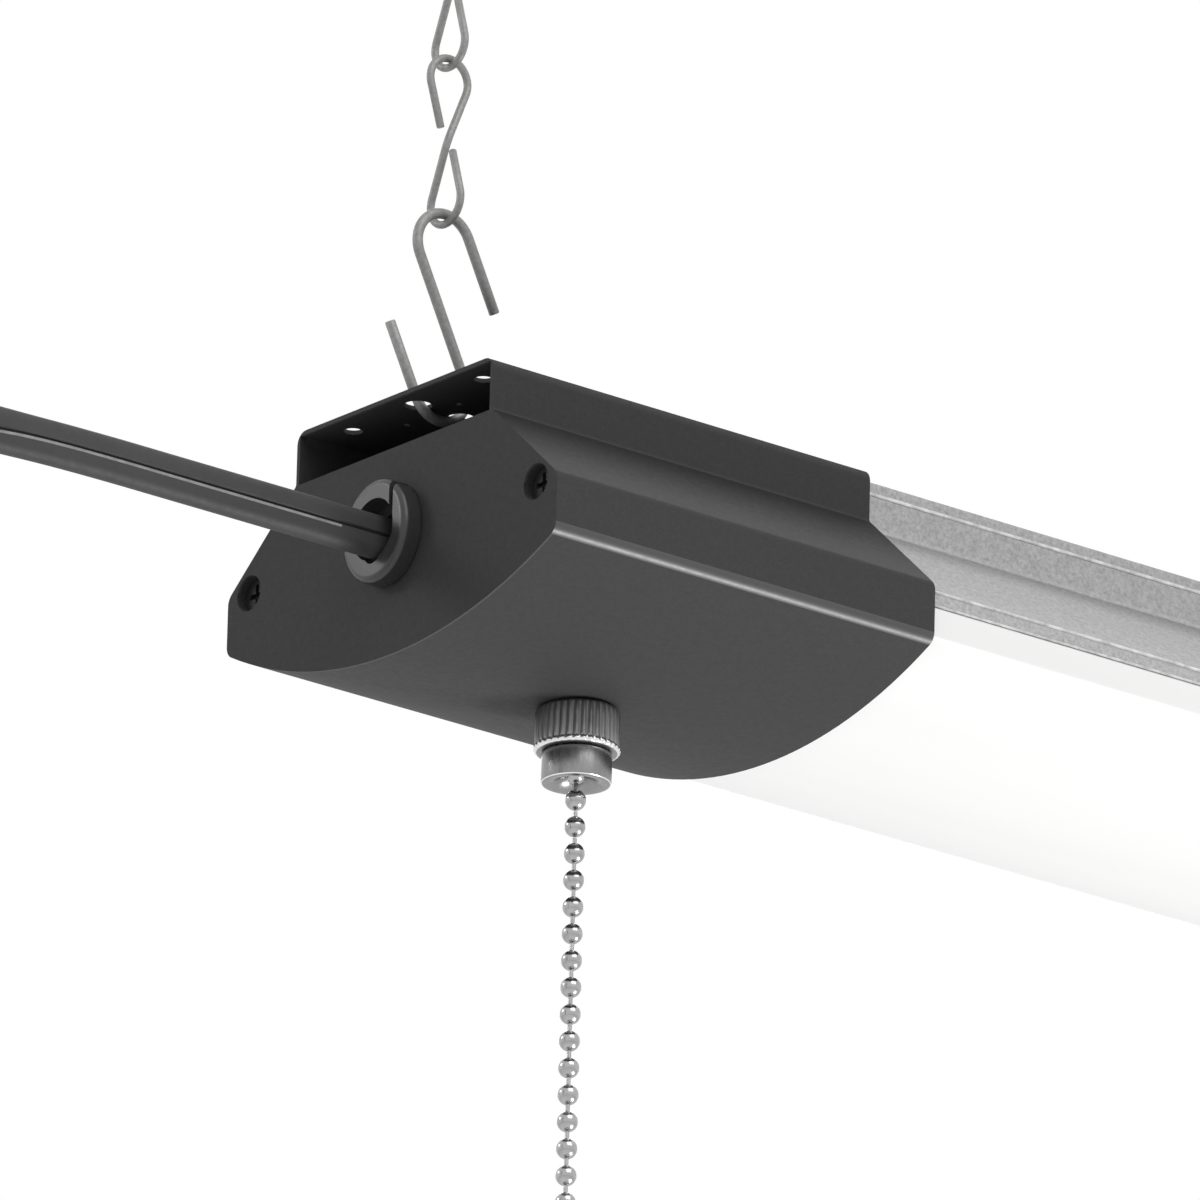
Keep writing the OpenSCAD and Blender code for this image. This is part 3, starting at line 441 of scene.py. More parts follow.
class Surface:
    """A material being built on one Principled shader."""

    def __init__(self, name, colour, roughness, metallic=0.0, specular=0.5):
        self.material = bpy.data.materials.new(name)
        self.material.use_nodes = True
        self.tree = self.material.node_tree
        self.shader = self.tree.nodes["Principled BSDF"]
        self.colour = tuple(colour) + (1,)
        self.shade({"Base Color": self.colour, "Roughness": roughness, "Metallic": metallic,
                    "Specular IOR Level": specular})
        self.place = self.add("TexCoord", {}).outputs["Object"]

    def add(self, kind, inputs, **settings):
        return add_node(self.tree, kind, inputs, **settings)

    def shade(self, inputs):
        give(self.tree, self.shader, inputs)
        return self

    def noise(self, scale, detail, stretch=None, rough=0.5):
        place = self.place
        if stretch:
            place = self.add("Mapping", {"Vector": place, "Scale": stretch}).outputs["Vector"]
        return self.add("TexNoise", {"Vector": place, "Scale": scale, "Detail": detail,
                                     "Roughness": rough}).outputs["Fac"]

    def mottle(self, scale, detail, darker, lighter, low=0.35, high=0.65, **noise):
        """The colour varies with a noise, from darker to lighter times the piece's own."""
        ramp = self.add("ValToRGB", {"Fac": self.noise(scale, detail, **noise)})
        stops = ramp.color_ramp.elements
        for stop, position, share in ((stops[0], low, darker), (stops[1], high, lighter)):
            stop.position = position
            stop.color = [min(c * share, 1) for c in self.colour[:3]] + [1]
        return self.shade({"Base Color": ramp.outputs["Color"]})

    def polish(self, scale, detail, low, high, **noise):
        """The roughness varies with a noise, from low to high."""
        band = self.add("MapRange", {"Value": self.noise(scale, detail, **noise), "From Min": 0.3,
                                     "From Max": 0.7, "To Min": low, "To Max": high})
        return self.shade({"Roughness": band.outputs["Result"]})

    def grain(self, scale, detail, depth, strength, **noise):
        """A noise raises the surface by depth metres."""
        bump = self.add("Bump", {"Height": self.noise(scale, detail, **noise), "Distance": depth,
                                 "Strength": strength})
        return self.shade({"Normal": bump.outputs["Normal"]})

    def counted(self, operation, first, second, clamp=False):
        """A sum of two values, each a number or another node's output."""
        return self.add("Math", {0: first, 1: second}, operation=operation,
                        use_clamp=clamp).outputs[0]

    def facing(self):
        """The place on the piece and the way that the surface faces, each as X, Y and Z."""
        normal = self.add("NewGeometry", {}).outputs["Normal"]
        return [self.add("SeparateXYZ", {0: source}).outputs for source in (self.place, normal)]

    def scaled(self, change):
        """The colour grows by a share of its own."""
        before = self.shader.inputs["Base Color"].links[0].from_socket
        after = self.add("VectorMath", {0: before, "Scale": self.counted("ADD", change, 1)},
                         operation="SCALE")
        return self.shade({"Base Color": after.outputs[0]})

    def paint_shade_on_slopes(self, low, high, low_share, high_share, slope=0.746, width=0.2):
        """Painted light and shade: the faces at this slope go from one share of the colour to
        another over two heights, darker where shade falls under a fold.
        """
        place, normal = self.facing()
        band = self.add("MapRange", {
            "Value": place["Z"], "From Min": at(0, 0, low).z, "From Max": at(0, 0, high).z,
            "To Min": low_share - 1, "To Max": high_share - 1}, interpolation_type="SMOOTHSTEP")
        away = self.counted("ABSOLUTE", self.counted("SUBTRACT", normal["Z"], slope), 0)
        near = self.counted("SUBTRACT", 1, self.counted("MULTIPLY", away, 1 / width), True)
        return self.scaled(self.counted("MULTIPLY", band.outputs["Result"], near))

    def paint_highlight_on_lower_rims(self, width, share):
        """Painted highlight: the surface is paler where it faces down, this near to the light's two
        ends.
        """
        place, normal = self.facing()
        beyond = self.counted("ABSOLUTE", place["X"], 0)
        outer = self.counted("GREATER_THAN", beyond, -LIGHT_X - width)
        lower = self.counted("LESS_THAN", normal["Z"], -0.25)
        chosen = self.counted("MULTIPLY", outer, lower)
        return self.scaled(self.counted("MULTIPLY", chosen, share - 1))


def powder_coat():
    s = Surface("powder_coat", finishes().paint, 0.68, specular=0.22)
    # Painted shade darkens the caps' shoulders up under the channel wall, and painted light
    # brightens their lower part.
    s.mottle(2600, 2, 0.93, 1.07).polish(900, 3, 0.64, 0.72).paint_shade_on_slopes(10, 22.6, 1.5, 0.2)
    # A painted highlight along the caps' lower rims at the light's two ends.
    return s.paint_highlight_on_lower_rims(0.4 * MM, 1.75).grain(1500, 2, 0.00002, 0.35).material


def rubbed_coat():
    """The coat on the long bends, thinner and smoother."""
    s = Surface("rubbed_coat", [c * 0.8 for c in finishes().paint], 0.4, specular=0.82)
    s.mottle(1200, 2, 0.97, 1.03).polish(900, 2, 0.38, 0.42)
    return s.grain(1500, 2, 0.000003, 0.2).material


def edge_coat():
    """Painted shade on the cut edges: a much darker, duller coat that draws them as dark lines."""
    s = Surface("edge_coat", [c * 0.3 for c in finishes().paint], 0.6, specular=0.2)
    s.mottle(1200, 2, 0.94, 1.06).polish(900, 2, 0.55, 0.65)
    return s.grain(1500, 2, 0.00001, 0.3).material


def galvanised_sheet():
    s = Surface("galvanised_sheet", finishes().galvanised, 0.5, metallic=0.35)
    s.mottle(1500, 4, 0.7, 1.22, 0.3, 0.7, rough=0.75).polish(700, 3, 0.42, 0.6)
    # Painted shade darkens the housing's shoulders just below the fold above them, and their lower
    # part is painted a little lighter.
    return s.paint_shade_on_slopes(17, 22.2, 1.08, 0.62).grain(1500, 3, 0.00003, 0.5).material


def bright_edge():
    """Painted highlight on the housing's folded edges: a zinc much paler than the sheet."""
    s = Surface("bright_edge", (0.8, 0.8, 0.8), 0.4, metallic=0.35)
    s.mottle(500, 3, 0.7, 1.1).polish(900, 2, 0.32, 0.46)
    return s.grain(2000, 2, 0.00001, 0.3).material


def fold_shadow():
    """The gap below a hem, which little light reaches."""
    s = Surface("fold_shadow", [c * 0.4 for c in finishes().galvanised], 0.6, metallic=0.35)
    s.mottle(600, 4, 0.5, 1.9, rough=0.7).polish(900, 2, 0.5, 0.7)
    return s.grain(2000, 2, 0.00001, 0.3).material


def frosted_plastic():
    s = Surface("frosted_plastic", finishes().lens, 0.38)
    s.mottle(60, 2, 0.985, 1.01, stretch=(0.05, 1, 1))
    return s.grain(900, 2, 0.000008, 0.3, stretch=(0.01, 1, 1)).material


def zinc_wire():
    s = Surface("zinc_wire", finishes().wire, 0.5, metallic=0.35)
    s.mottle(1800, 3, 0.88, 1.1).polish(2500, 2, 0.42, 0.56)
    return s.grain(3500, 2, 0.000012, 0.4).material


def bright_nickel(name, roughness):
    s = Surface(name, finishes().nickel, roughness, metallic=1.0)
    s.mottle(500, 2, 0.94, 1.05)
    s.polish(1800, 3, roughness - 0.05, roughness + 0.05, stretch=(1, 1, 0.2))
    return s.grain(3000, 2, 0.000006, 0.3, stretch=(1, 1, 0.3)).material


def polished_plating(name, colour, darkest, dullest):
    s = Surface(name, colour, 0.16, metallic=1.0)
    return s.mottle(900, 2, darkest, 1.05).polish(2500, 2, 0.12, dullest).material


def soft_jacket():
    s = Surface("soft_jacket", finishes().jacket, 0.62)
    s.mottle(400, 2, 0.94, 1.05, stretch=(0.3, 1, 1)).polish(900, 2, 0.58, 0.66)
    return s.grain(1800, 2, 0.00001, 0.4, stretch=(0.05, 1, 1)).material


def cord_rib():
    """Painted highlight on the lower lip of the cord's middle groove."""
    s = Surface("cord_rib", (0.27, 0.27, 0.27), 0.45)
    s.mottle(700, 2, 0.8, 1.1).polish(900, 2, 0.3, 0.42)
    return s.grain(2000, 2, 0.000008, 0.3).material


def moulded_plastic():
    s = Surface("moulded_plastic", finishes().plastic, 0.31)
    s.mottle(1200, 2, 0.95, 1.06).polish(1600, 2, 0.28, 0.35)
    return s.grain(1800, 2, 0.000005, 0.3).material


def plain_finish(name, colour, roughness, scale=900, spread=0.05, metallic=0.0):
    """A finish for small and hidden pieces, with slight changes of tone and a fine grain."""
    s = Surface(name, colour, roughness, metallic)
    s.mottle(scale, 3, 1 - spread, 1 + spread)
    s.polish(scale * 1.7, 2, roughness * 0.85, min(roughness * 1.2, 1))
    return s.grain(scale * 2.5, 2, 0.00001, 0.4).material


def pale_floor():
    """A floor that is a little brighter to the camera, and clear from below."""
    s = Surface("pale_floor", (0.88, 0.88, 0.88), 0.8, specular=0.1)
    glow = s.counted("MULTIPLY", seen_rays(s.tree), FLOOR_GLOW)
    s.mottle(3, 2, 0.99, 1.01).shade({"Emission Color": WHITE, "Emission Strength": glow})
    mix = s.add("MixShader", {"Fac": s.add("NewGeometry", {}).outputs["Backfacing"],
                              1: s.shader.outputs["BSDF"],
                              2: s.add("BsdfTransparent", {}).outputs[0]})
    give(s.tree, s.tree.nodes["Material Output"], {"Surface": mix.outputs[0]})
    return s.material


# The cord

def coil_point(t, radius):
    """The coil's radius and layer after t turns, in millimetres: in on one, out on the other."""
    inner = radius - COIL_TURNS_IN * COIL_STEP
    if t < COIL_TURNS_IN:
        return radius - COIL_STEP * t, -COIL_LAYER_Y
    if t < COIL_TURNS_IN + COIL_CLIMB_TURNS:
        turn = tau * (t - COIL_TURNS_IN)
        return inner - COIL_CLIMB_DIP * sin(turn), -COIL_LAYER_Y * cos(turn)
    return inner + COIL_STEP * (t - COIL_TURNS_IN - COIL_CLIMB_TURNS), COIL_LAYER_Y


def cord_line(steps_a_turn=60):
    """The cord's whole route as (x, y, z, quarter turns of twist), in millimetres."""
    radius = sizes().coil_radius / MM
    centre_z = COIL_TOP_Z - radius
    coil = []
    for i in range(int(COIL_TURNS * steps_a_turn) + 1):
        t = i / steps_a_turn
        r, y = coil_point(t, radius)
        a = radians(90 + 360 * t)
        coil.append((COIL_X + r * cos(a), y, centre_z + r * sin(a), 1))
    x, y, z, q = coil[-1]
    tail = [(x, y, z - CORD_TAIL * i / 10, q) for i in range(1, 11)]
    return smooth_route(CORD_ROUTE + [coil[0]], 3)[:-1] + coil + tail


def cord_section(end_points=12):
    """The flat section, round at both ends and notched in the middle: thickness, then width."""
    lobe = sizes().cord_thickness / 2
    middle = sizes().cord_width / 2 - lobe
    notch, depth = 0.33 * MM, 0.5 * MM
    section = []
    for s in (1, -1):
        section += [(s * (lobe - depth), 0), (s * lobe, s * notch)]
        # A narrow facet below the notch, on one side only, carries the painted highlight.
        if s < 0:
            section += [(s * lobe, s * (notch + GROOVE_HIGHLIGHT_W))]
        section += [(s * lobe * cos(a), s * (middle + lobe * sin(a)))
                    for a in turned_steps(0, 180, end_points)]
        section += [(-s * lobe, s * notch)]
    return section


def build_cord():
    line = cord_line()
    section = cord_section()
    rings = []
    for i, (x, y, z, q) in enumerate(line):
        a, b = line[max(i - 1, 0)], line[min(i + 1, len(line) - 1)]
        up = Y.cross(Vector((b[0] - a[0], 0, b[2] - a[2])).normalized())
        turn = radians(90 * q)
        thick = cos(turn) * Y + sin(turn) * up
        wide = -sin(turn) * Y + cos(turn) * up
        rings.append([at(x, y, z) + u * thick + v * wide for u, v in section])
    cord = piece("supply_cord", ringed_mesh(rings), soft_jacket(),
                 ("power_cord", "cord_coil"), sharp=35)
    # The groove's lower lip takes the painted highlight, left off near the strain relief.
    cord.data.materials.append(cord_rib())
    for i, (x, *_) in enumerate(line[:-1]):
        if x < GROOVE_HIGHLIGHT_START_X:
            cord.data.polygons[i * len(section) + GROOVE_HIGHLIGHT_FACE].material_index = 1
    return cord, [at(*p[:3]) for p in line]


def build_tie():
    """A flat tie round the coil's turns, with the small block that locks it."""
    band_t, band_w, clear = 0.9, 6.0, 0.3
    half_y = COIL_LAYER_Y + sizes().cord_width / MM / 2 + clear + band_t / 2
    low_box, high_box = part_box("cord_tie")
    low_z = (low_box.z - LIGHT_Z) / MM + band_t / 2
    high_z = (high_box.z - LIGHT_Z) / MM - band_t / 2
    path = rounded_ring(at(COIL_X, 0, (low_z + high_z) / 2), half_y * MM, (high_z - low_z) / 2 * MM,
                        2.2 * MM, Y, Z, 6)
    rings = []
    for i, p in enumerate(path):
        out = X.cross((path[(i + 1) % len(path)] - path[i - 1]).normalized())
        rings.append(rounded_ring(p, band_w / 2 * MM, band_t / 2 * MM, 0.3 * MM, X, out, 2))
    block = [rounded_ring(at(COIL_X, 0, high_z + z), half * MM, half * MM, 1.2 * MM, X, Y)
             for z, half in ((-1.2, 3.6), (-0.9, 4.0), (1.9, 4.0), (2.4, 3.5))]
    return piece("coil_tie", joined_mesh(ringed_mesh(rings, closed=True), ringed_mesh(block)),
                 moulded_plastic(), ("cord_tie",), sharp=40)


def build_plug():
    """A moulded plug with a ribbed grip, on the cord's end."""
    low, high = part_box("plug_body")
    middle = (low + high) / 2
    half_t, half_w = (high.x - low.x) / 2, (high.y - low.y) / 2
    length = high.z - low.z
    stations = [(1.0, 0.40, 0.42), (0.985, 0.46, 0.47), (0.90, 0.50, 0.52)]
    for i in range(5):
        top = 0.86 - i * 0.095
        swell = 0.56 + 0.075 * i
        stations += [(top, swell, swell + 0.02), (top - 0.02, swell - 0.05, swell - 0.03),
                     (top - 0.055, swell - 0.045, swell - 0.025),
                     (top - 0.075, swell + 0.03, swell + 0.05)]
    stations += [(0.33, 0.93, 0.95), (0.25, 0.99, 0.995), (0.2, 1.0, 1.0), (0.03, 1.0, 1.0),
                 (0.0, 0.95, 0.965)]
    rings = []
    for height, share_t, share_w in stations:
        t, w = half_t * share_t, half_w * share_w
        centre = Vector((middle.x, middle.y, low.z + length * height))
        rings.append(rounded_ring(centre, t, w, min(t, w) * 0.55, X, Y, 6))
    return piece("plug_grip", ringed_mesh(rings), moulded_plastic(),
                 ("plug_body",), sharp=42)


def build_blades():
    """Two flat blades, each with a rounded tip and a hole."""
    low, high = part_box("plug_blades")
    thick, tall, half = 1.5 * MM, high.z - low.z, (high.x - low.x) / 2
    hole_r, hole_z = 1.6 * MM, 4.2 * MM
    outline = [(half, tall), (half, half * 0.8), (half * 0.7, half * 0.2), (half * 0.3, 0)]
    outline += [(-u, v) for u, v in reversed(outline)]
    hole = [(hole_r * cos(a), hole_z + hole_r * sin(a)) for a in turned_steps(0, 330, 11)]
    bm = bmesh.new()
    x = (low.x + high.x) / 2
    for side in (-1, 1):
        y = (low.y + high.y) / 2 + side * ((high.y - low.y) / 2 - thick / 2)
        edges = []
        for loop in (outline, hole):
            verts = [bm.verts.new((x + u, y - thick / 2, low.z + v)) for u, v in loop]
            edges += [bm.edges.new((verts[i - 1], verts[i])) for i in range(len(verts))]
        filled = bmesh.ops.triangle_fill(bm, use_beauty=True, edges=edges)
        faces = [f for f in filled["geom"] if isinstance(f, bmesh.types.BMFace)]
        grown = bmesh.ops.extrude_face_region(bm, geom=faces)["geom"]
        bmesh.ops.translate(bm, vec=(0, thick, 0),
                            verts=[v for v in grown if isinstance(v, bmesh.types.BMVert)])
    bmesh.ops.recalc_face_normals(bm, faces=bm.faces)
    brass = plain_finish("plug_brass", (0.62, 0.46, 0.2), 0.25, metallic=1.0)
    blades = piece("blades", finished_mesh(bm), brass, ("plug_blades",))
    break_edges(blades, 0.15 * MM)
    return blades


# The housing's folds, between the two caps

def strips_mesh(sections):
    """Strips along both sides of the housing, their sections in Y and Z millimetres."""
    ends = (FOLD_START_X, LIGHT_LENGTH - FOLD_START_X)
    return joined_mesh(*[ringed_mesh([[at(x, side * y, z) for y, z in section] for x in ends])
                         for side in (1, -1) for section in sections])


# The strain relief

def slot_mesh(first_x, last_x, width, height, z):
    """A slot's prism: round above and below, its sides upright."""
    rise, radius = (height - width) / 2, width / 2 * MM
    return ringed_mesh([arc(at(x, 0, z + rise), radius, 0, 180, 20, Y, Z)
                        + arc(at(x, 0, z - rise), radius, 180, 360, 20, Y, Z)
                        for x in (first_x, last_x)])


def block_mesh(low, high):
    corners = ((low[1], low[2]), (high[1], low[2]), (high[1], high[2]), (low[1], high[2]))
    return ringed_mesh([[at(x, y, z) for y, z in corners] for x in (low[0], high[0])])


def relief_meshes():
    """The split strain relief: its C-shaped body and the jaw that presses on the cord."""
    half_y, half_z, mid_z = 7.45, 8.05, 9.0
    head, neck_y, neck_z, inside, root = 3.5, 6.55, 7.15, 10.0, -0.1
    slit_y, slit_w, jaw_z = -3.7, 0.9, 8.2
    outer_x, inner_x = -6, 12
    slot, mouth = (4.0, 8.5, 8.0), (9.4, 9.6, 9.1)
    stations = [(x, half_y - d, half_z - d) for x, d in (
        (-head, 1.05), (-head + 0.08, 0.66), (-head + 0.3, 0.3), (-head + 0.62, 0.08),
        (-head + 1.0, 0), (-0.35, 0), (root, 0.1))]
    stations += [(x, neck_y - d, neck_z - d)
                 for x, d in ((root, 0), (inside - 0.4, 0), (inside, 0.4))]
    rings = [[at(x, y * cos(a), mid_z + z * sin(a)) for a in turned_steps(0, 356.25, 95)]
             for x, y, z in stations]
    body_cuts = [((outer_x, slit_y - slit_w, jaw_z - slit_w), (inner_x, 12, 24))]
    jaw_cuts = [((outer_x, -12, -6), (inner_x, slit_y, 24)),
                ((outer_x, slit_y - 1, -6), (inner_x, 12, jaw_z))]
    return [carved(ringed_mesh(rings), [
        slot_mesh(outer_x, inner_x, *slot), slot_mesh(outer_x, root, *mouth),
        *[block_mesh(low, high) for low, high in cuts]]) for cuts in (body_cuts, jaw_cuts)]


# The hangers

def s_hook_mesh():
    """One S-hook's wire, leaned so that its two bends hang one above the other."""
    s = sizes()
    r, half, leg = s.hook_bend, s.hook_half, s.hook_leg
    upper = [2 * r * X + (half - leg) * Z] + arc(r * X + half * Z, r, 0, 180, 28)
    lower = [Vector((-p.x, 0, -p.z)) for p in reversed(upper)]
    shank = [half * Z * t for t in (0.66, 0.33, 0, -0.33, -0.66)]
    lean = Matrix.Rotation(-atan2(r, half), 4, "Y")
    middle = at(HOOK_X, 0, LOW_BEND_Z) + hypot(r, half) * Z
    return wire_mesh([middle + lean @ p for p in upper + shank + lower], s.hook_wire / 2, 20)


def link_half():
    """Half of a jack-chain link in Y and Z, from its free end round its loop to the waist."""
    s = sizes()
    r, reach = s.loop_radius, s.link_length / 2 - s.loop_radius
    lean = radians(FREE_END_LEAN)
    free = (reach - r * sin(lean)) / cos(lean) - 1.6 * s.chain_wire
    loop = arc(r * Z, r, -180 - FREE_END_LEAN, degrees(asin(r / reach)), 34, Y, Z)
    end = loop[0] + free * Vector((0, sin(lean), cos(lean)))
    return [end] + loop + [s.link_length / 2 * Z]


def link_mesh(z):
    s = sizes()
    lower = link_half()
    upper = [Vector((p.y, 0, s.link_length - p.z)) for p in reversed(lower)]
    waist = rounded_corner(lower[-2], lower[-1], upper[1], 1.6 * MM)
    line = [at(HOOK_X, 0, z) + p for p in lower[:-1] + waist + upper[1:]]
    return wire_mesh(line, s.chain_wire / 2)


def thread_mesh(base, core, crest, pitch, length, turn_points=20):
    """A wood screw's helical thread round Z, from base upwards, which fades into its point."""
    rings = []
    count = int(length / pitch * turn_points)
    half_pitch = pitch * 0.3 * Z
    for i in range(count + 1):
        share = i / count
        a = tau * i / turn_points
        fade = min(1, (1 - share) * 6, share * 8 + 0.05)
        out = Vector((cos(a), sin(a), 0))
        centre = base + length * share * Z
        root = centre + core * 0.9 * min(1, (1 - share) * 5 + 0.2) * out
        top = centre + (core + (crest - core) * fade) * out
        rings.append([root - half_pitch, top, root + half_pitch])
    return ringed_mesh(rings)


def ceiling_hook_mesh():
    """A screw hook: its ring, its neck, its flange under the ceiling and its thread above."""
    s = sizes()
    r = s.eye_radius
    centre = at(HOOK_X, 0, EYE_BOTTOM_Z) + r * Z
    ring = arc(centre, r, 330, 118, 40, Y, Z)
    neck_low, neck_high = centre + (r + 1.6 * MM) * Z, centre + (r + 4.8 * MM) * Z
    bend = curved_to(ring[-1], centre + r * 1.02 * Z - 0.6 * MM * Y, neck_low, 8, 1)
    top = at(HOOK_X, 0, CEILING_Z)
    wire = wire_mesh(ring + bend + [neck_high], s.eye_wire / 2, 20)
    flange = turned_mesh([(0, -0.9), (3.9, -0.9), (4.4, -0.7), (4.5, -0.45), (4.4, -0.15),
                          (4.0, -0.02), (0, -0.02)], top, 40)
    screw = turned_mesh([(0, -0.5), (1.5, -0.5), (1.5, 1.5), (1.2, 2.2), (1.15, 16.5), (0.75, 18.4),
                         (0.15, 19.9), (0, 20)], top, 24)
    thread = thread_mesh(top + 2.4 * MM * Z, core=1.15 * MM, crest=1.5 * MM, pitch=1.6 * MM,
                         length=16.6 * MM)
    return joined_mesh(wire, flange, screw, thread)


# The pull switch

def nut_mesh():
    """The knurled ring nut: a plain shoulder, its knurls and the beaded rim below."""
    n, bore = sizes().nut_diameter / MM / 2, 4.05
    profile = [
        (bore, 6.8), (n - 0.75, 6.8), (n - 0.5, 6.74), (n - 0.34, 6.6, 0.03), (n - 0.1, 6.42, 0.22),
        (n, 6.2, 0.34), (n, 4.6, 0.34), (n, 3.0, 0.34), (n, 1.35, 0.34), (n - 0.06, 1.12, 0.26),
        (n - 0.22, 0.98, 0.06), (n - 0.14, 0.92), (n + 0.10, 0.82, 0.10), (n + 0.20, 0.64, 0.20),
        (n + 0.21, 0.44, 0.22), (n + 0.15, 0.24, 0.14), (n - 0.02, 0.08, 0.05), (n - 0.3, 0),
        (bore + 0.1, 0), (bore, 0.1),
    ]
    knurls = sizes().knurls
    return turned_mesh(profile, at(SWITCH_X, 0, NUT_BOTTOM_Z), knurls * 8, knurls, loop=True)


def ferrule_mesh():
    """The ferrule, with a dished mouth that the chain can be pulled over."""
    bore, dish = 2.0, 2.6
    profile = [(bore, 4.75)]
    profile += [(bore + dish + dish * cos(a), dish + dish * sin(a))
                for a in turned_steps(180, 270, 10)]
    profile += [(4.85, 0), (5.1, 0.06), (5.25, 0.2), (5.3, 0.42), (5.3, 4.3), (5.2, 4.65),
                (5.0, 4.78)]
    return turned_mesh(profile, at(SWITCH_X, 0, FERRULE_BOTTOM_Z), 72, loop=True)


def bead_run(top_z, count, stub=0.0):
    """Hollow beads on their wire, from the bead at top_z down, with a stub of wire above."""
    s = sizes()
    r, w, pitch = s.bead / MM / 2, s.bead_wire / MM / 2, s.bead_pitch / MM
    lip = w + 0.16
    pole = degrees(asin(lip / r))
    profile = [(0, top_z + r + stub), (w, top_z + r + stub)] if stub else [(0, top_z + r)]
    for i in range(count):
        z = top_z - i * pitch
        below = i < count - 1
        if i or stub:
            profile += [(w, z + r * 0.93), (lip - 0.03, z + r * 0.955)]
        first, last = pole if i or stub else 8, 180 - pole if below else 172
        profile += [(r * sin(a), z + r * cos(a)) for a in turned_steps(first, last, 14)]
        if below:
            profile += [(lip - 0.03, z - r * 0.955), (w, z - r * 0.93)]
    profile.append((0, top_z - (count - 1) * pitch - r))
    return turned_mesh(profile, at(SWITCH_X, 0, 0), 28)


def bell_mesh():
    """The bell at the chain's end."""
    low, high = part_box("pull_bell")
    wide, tall = (high.x - low.x) / 2 / MM / 3.75, (high.z - low.z) / MM / 12
    outline = [(0, 0), (1.1, 0), (1.5, -0.12), (1.62, -0.4), (1.7, -1.2), (1.95, -2.6), (2.3, -4.2),
               (2.65, -6.0), (3.0, -7.8), (3.4, -9.4), (3.68, -10.3), (3.75, -10.9), (3.75, -11.4),
               (3.66, -11.75), (3.4, -11.92), (3.0, -12.0), (2.7, -11.9), (2.5, -11.6), (0, -11.2)]
    return turned_mesh([(r * wide, z * tall) for r, z in outline],
                       Vector(((low.x + high.x) / 2, 0, high.z)))


# Operators, one for each piece or group of like pieces

class Undoable:
    """What the operators share."""

    bl_options = {"REGISTER", "UNDO"}


class SHOPLIGHT_OT_camera(Undoable, Operator):
    """Place the camera below the light, with a long lens"""

    bl_idname = "shoplight.camera"
    bl_label = "Camera"

    def execute(self, context):
        azimuth, elevation, roll = VIEW_ANGLES
        data = bpy.data.cameras.new("camera")
        data.lens = VIEW_LENS
        camera = placed("camera", data)
        place = Matrix.Translation(at(0, 0, 0))
        for angle, axis in ((azimuth, "Z"), (90 - elevation, "X"), (roll, "Z")):
            place @= Matrix.Rotation(radians(angle), 4, axis)
        camera.matrix_world = place @ Matrix.Translation(MM * Vector(VIEW_PLACE))
        context.scene.camera = camera
        return {"FINISHED"}


class SHOPLIGHT_OT_cord(Undoable, Operator):
    """Make the flat cord with its coil, tie, plug and blades"""

    bl_idname = "shoplight.cord"
    bl_label = "Cord"

    def execute(self, context):
        cord, path = build_cord()
        tie, plug, blades = build_tie(), build_plug(), build_blades()
        return {"FINISHED"}


class SHOPLIGHT_OT_end_caps(Undoable, Operator):
    """Make the two bent-steel end caps"""

    bl_idname = "shoplight.end_caps"
    bl_label = "End Caps"

    def execute(self, context):
        paint, bends, edges = powder_coat(), rubbed_coat(), edge_coat()
        for end in ("front", "rear"):
            node = end + "_cap"
            cap = piece(end + "_end_cap", cad_mesh(node), paint, (node,))
            mark_faces(cap, bends, lambda p: abs(p.y) > CAP_HIGH.y - BEND_WIDTH
                       and BEND_LOW < p.z - LIGHT_Z < BEND_HIGH)
            # The third finish, for the bevelled cut edges, is painted shade.
            cap.data.materials.append(edges)
            break_edges(cap, sizes().edge, 3, finish=2)
        return {"FINISHED"}


class SHOPLIGHT_OT_housing(Undoable, Operator):
    """Make the galvanised housing and the frosted lens"""

    bl_idname = "shoplight.housing"
    bl_label = "Housing and Lens"

    def execute(self, context):
        zinc, fold_highlight = galvanised_sheet(), bright_edge()
        housing = piece("housing_sheet", cad_mesh("housing"), zinc, ("housing",))
        break_edges(housing, 0.15 * MM)
        beads = [[(y + r * cos(a), z + r * sin(a)) for a in turned_steps(0, 330, 11)]
                 for y, z, r in FOLD_BEADS]
        # The beads along the folds carry the painted highlight.
        piece("folded_edges", strips_mesh(beads), fold_highlight)
        hems = piece("top_hems", strips_mesh([HEM_OUTLINE]), zinc, sharp=20)
        hems.data.materials.append(fold_shadow())
        hems.data.materials.append(fold_highlight)
        # Each hem face takes its finish from HEM_FINISHES: plain zinc, painted shade, painted
        # highlight.
        for face in hems.data.polygons:
            face.material_index = HEM_FINISHES[face.index % len(HEM_FINISHES)]
        lens = piece("lens_cover", cad_mesh("lens"), frosted_plastic(), ("lens",))
        break_edges(lens, 0.35 * MM, 3)
        return {"FINISHED"}


class SHOPLIGHT_OT_strain_relief(Undoable, Operator):
    """Make the split strain relief that grips the cord"""

    bl_idname = "shoplight.strain_relief"
    bl_label = "Strain Relief"

    def execute(self, context):
        plastic = moulded_plastic()
        for part, mesh in zip(("body", "jaw"), relief_meshes()):
            half = piece("relief_" + part, mesh, plastic,
                         ("strain_relief_" + part,))
            break_edges(half, 0.2 * MM, angle=40)
        return {"FINISHED"}


class SHOPLIGHT_OT_screws(Undoable, Operator):
    """Make the four recessed cap screws"""

    bl_idname = "shoplight.screws"
    bl_label = "Cap Screws"

    def execute(self, context):
        steel = plain_finish("black_oxide", (0.008, 0.008, 0.008), 0.65, 2000, 0.1)
        for end in ("front", "rear"):
            node = end + "_cap_screws"
            screws = piece(end + "_screws", cad_mesh(node), steel, (node,))
            break_edges(screws, 0.12 * MM)
        return {"FINISHED"}


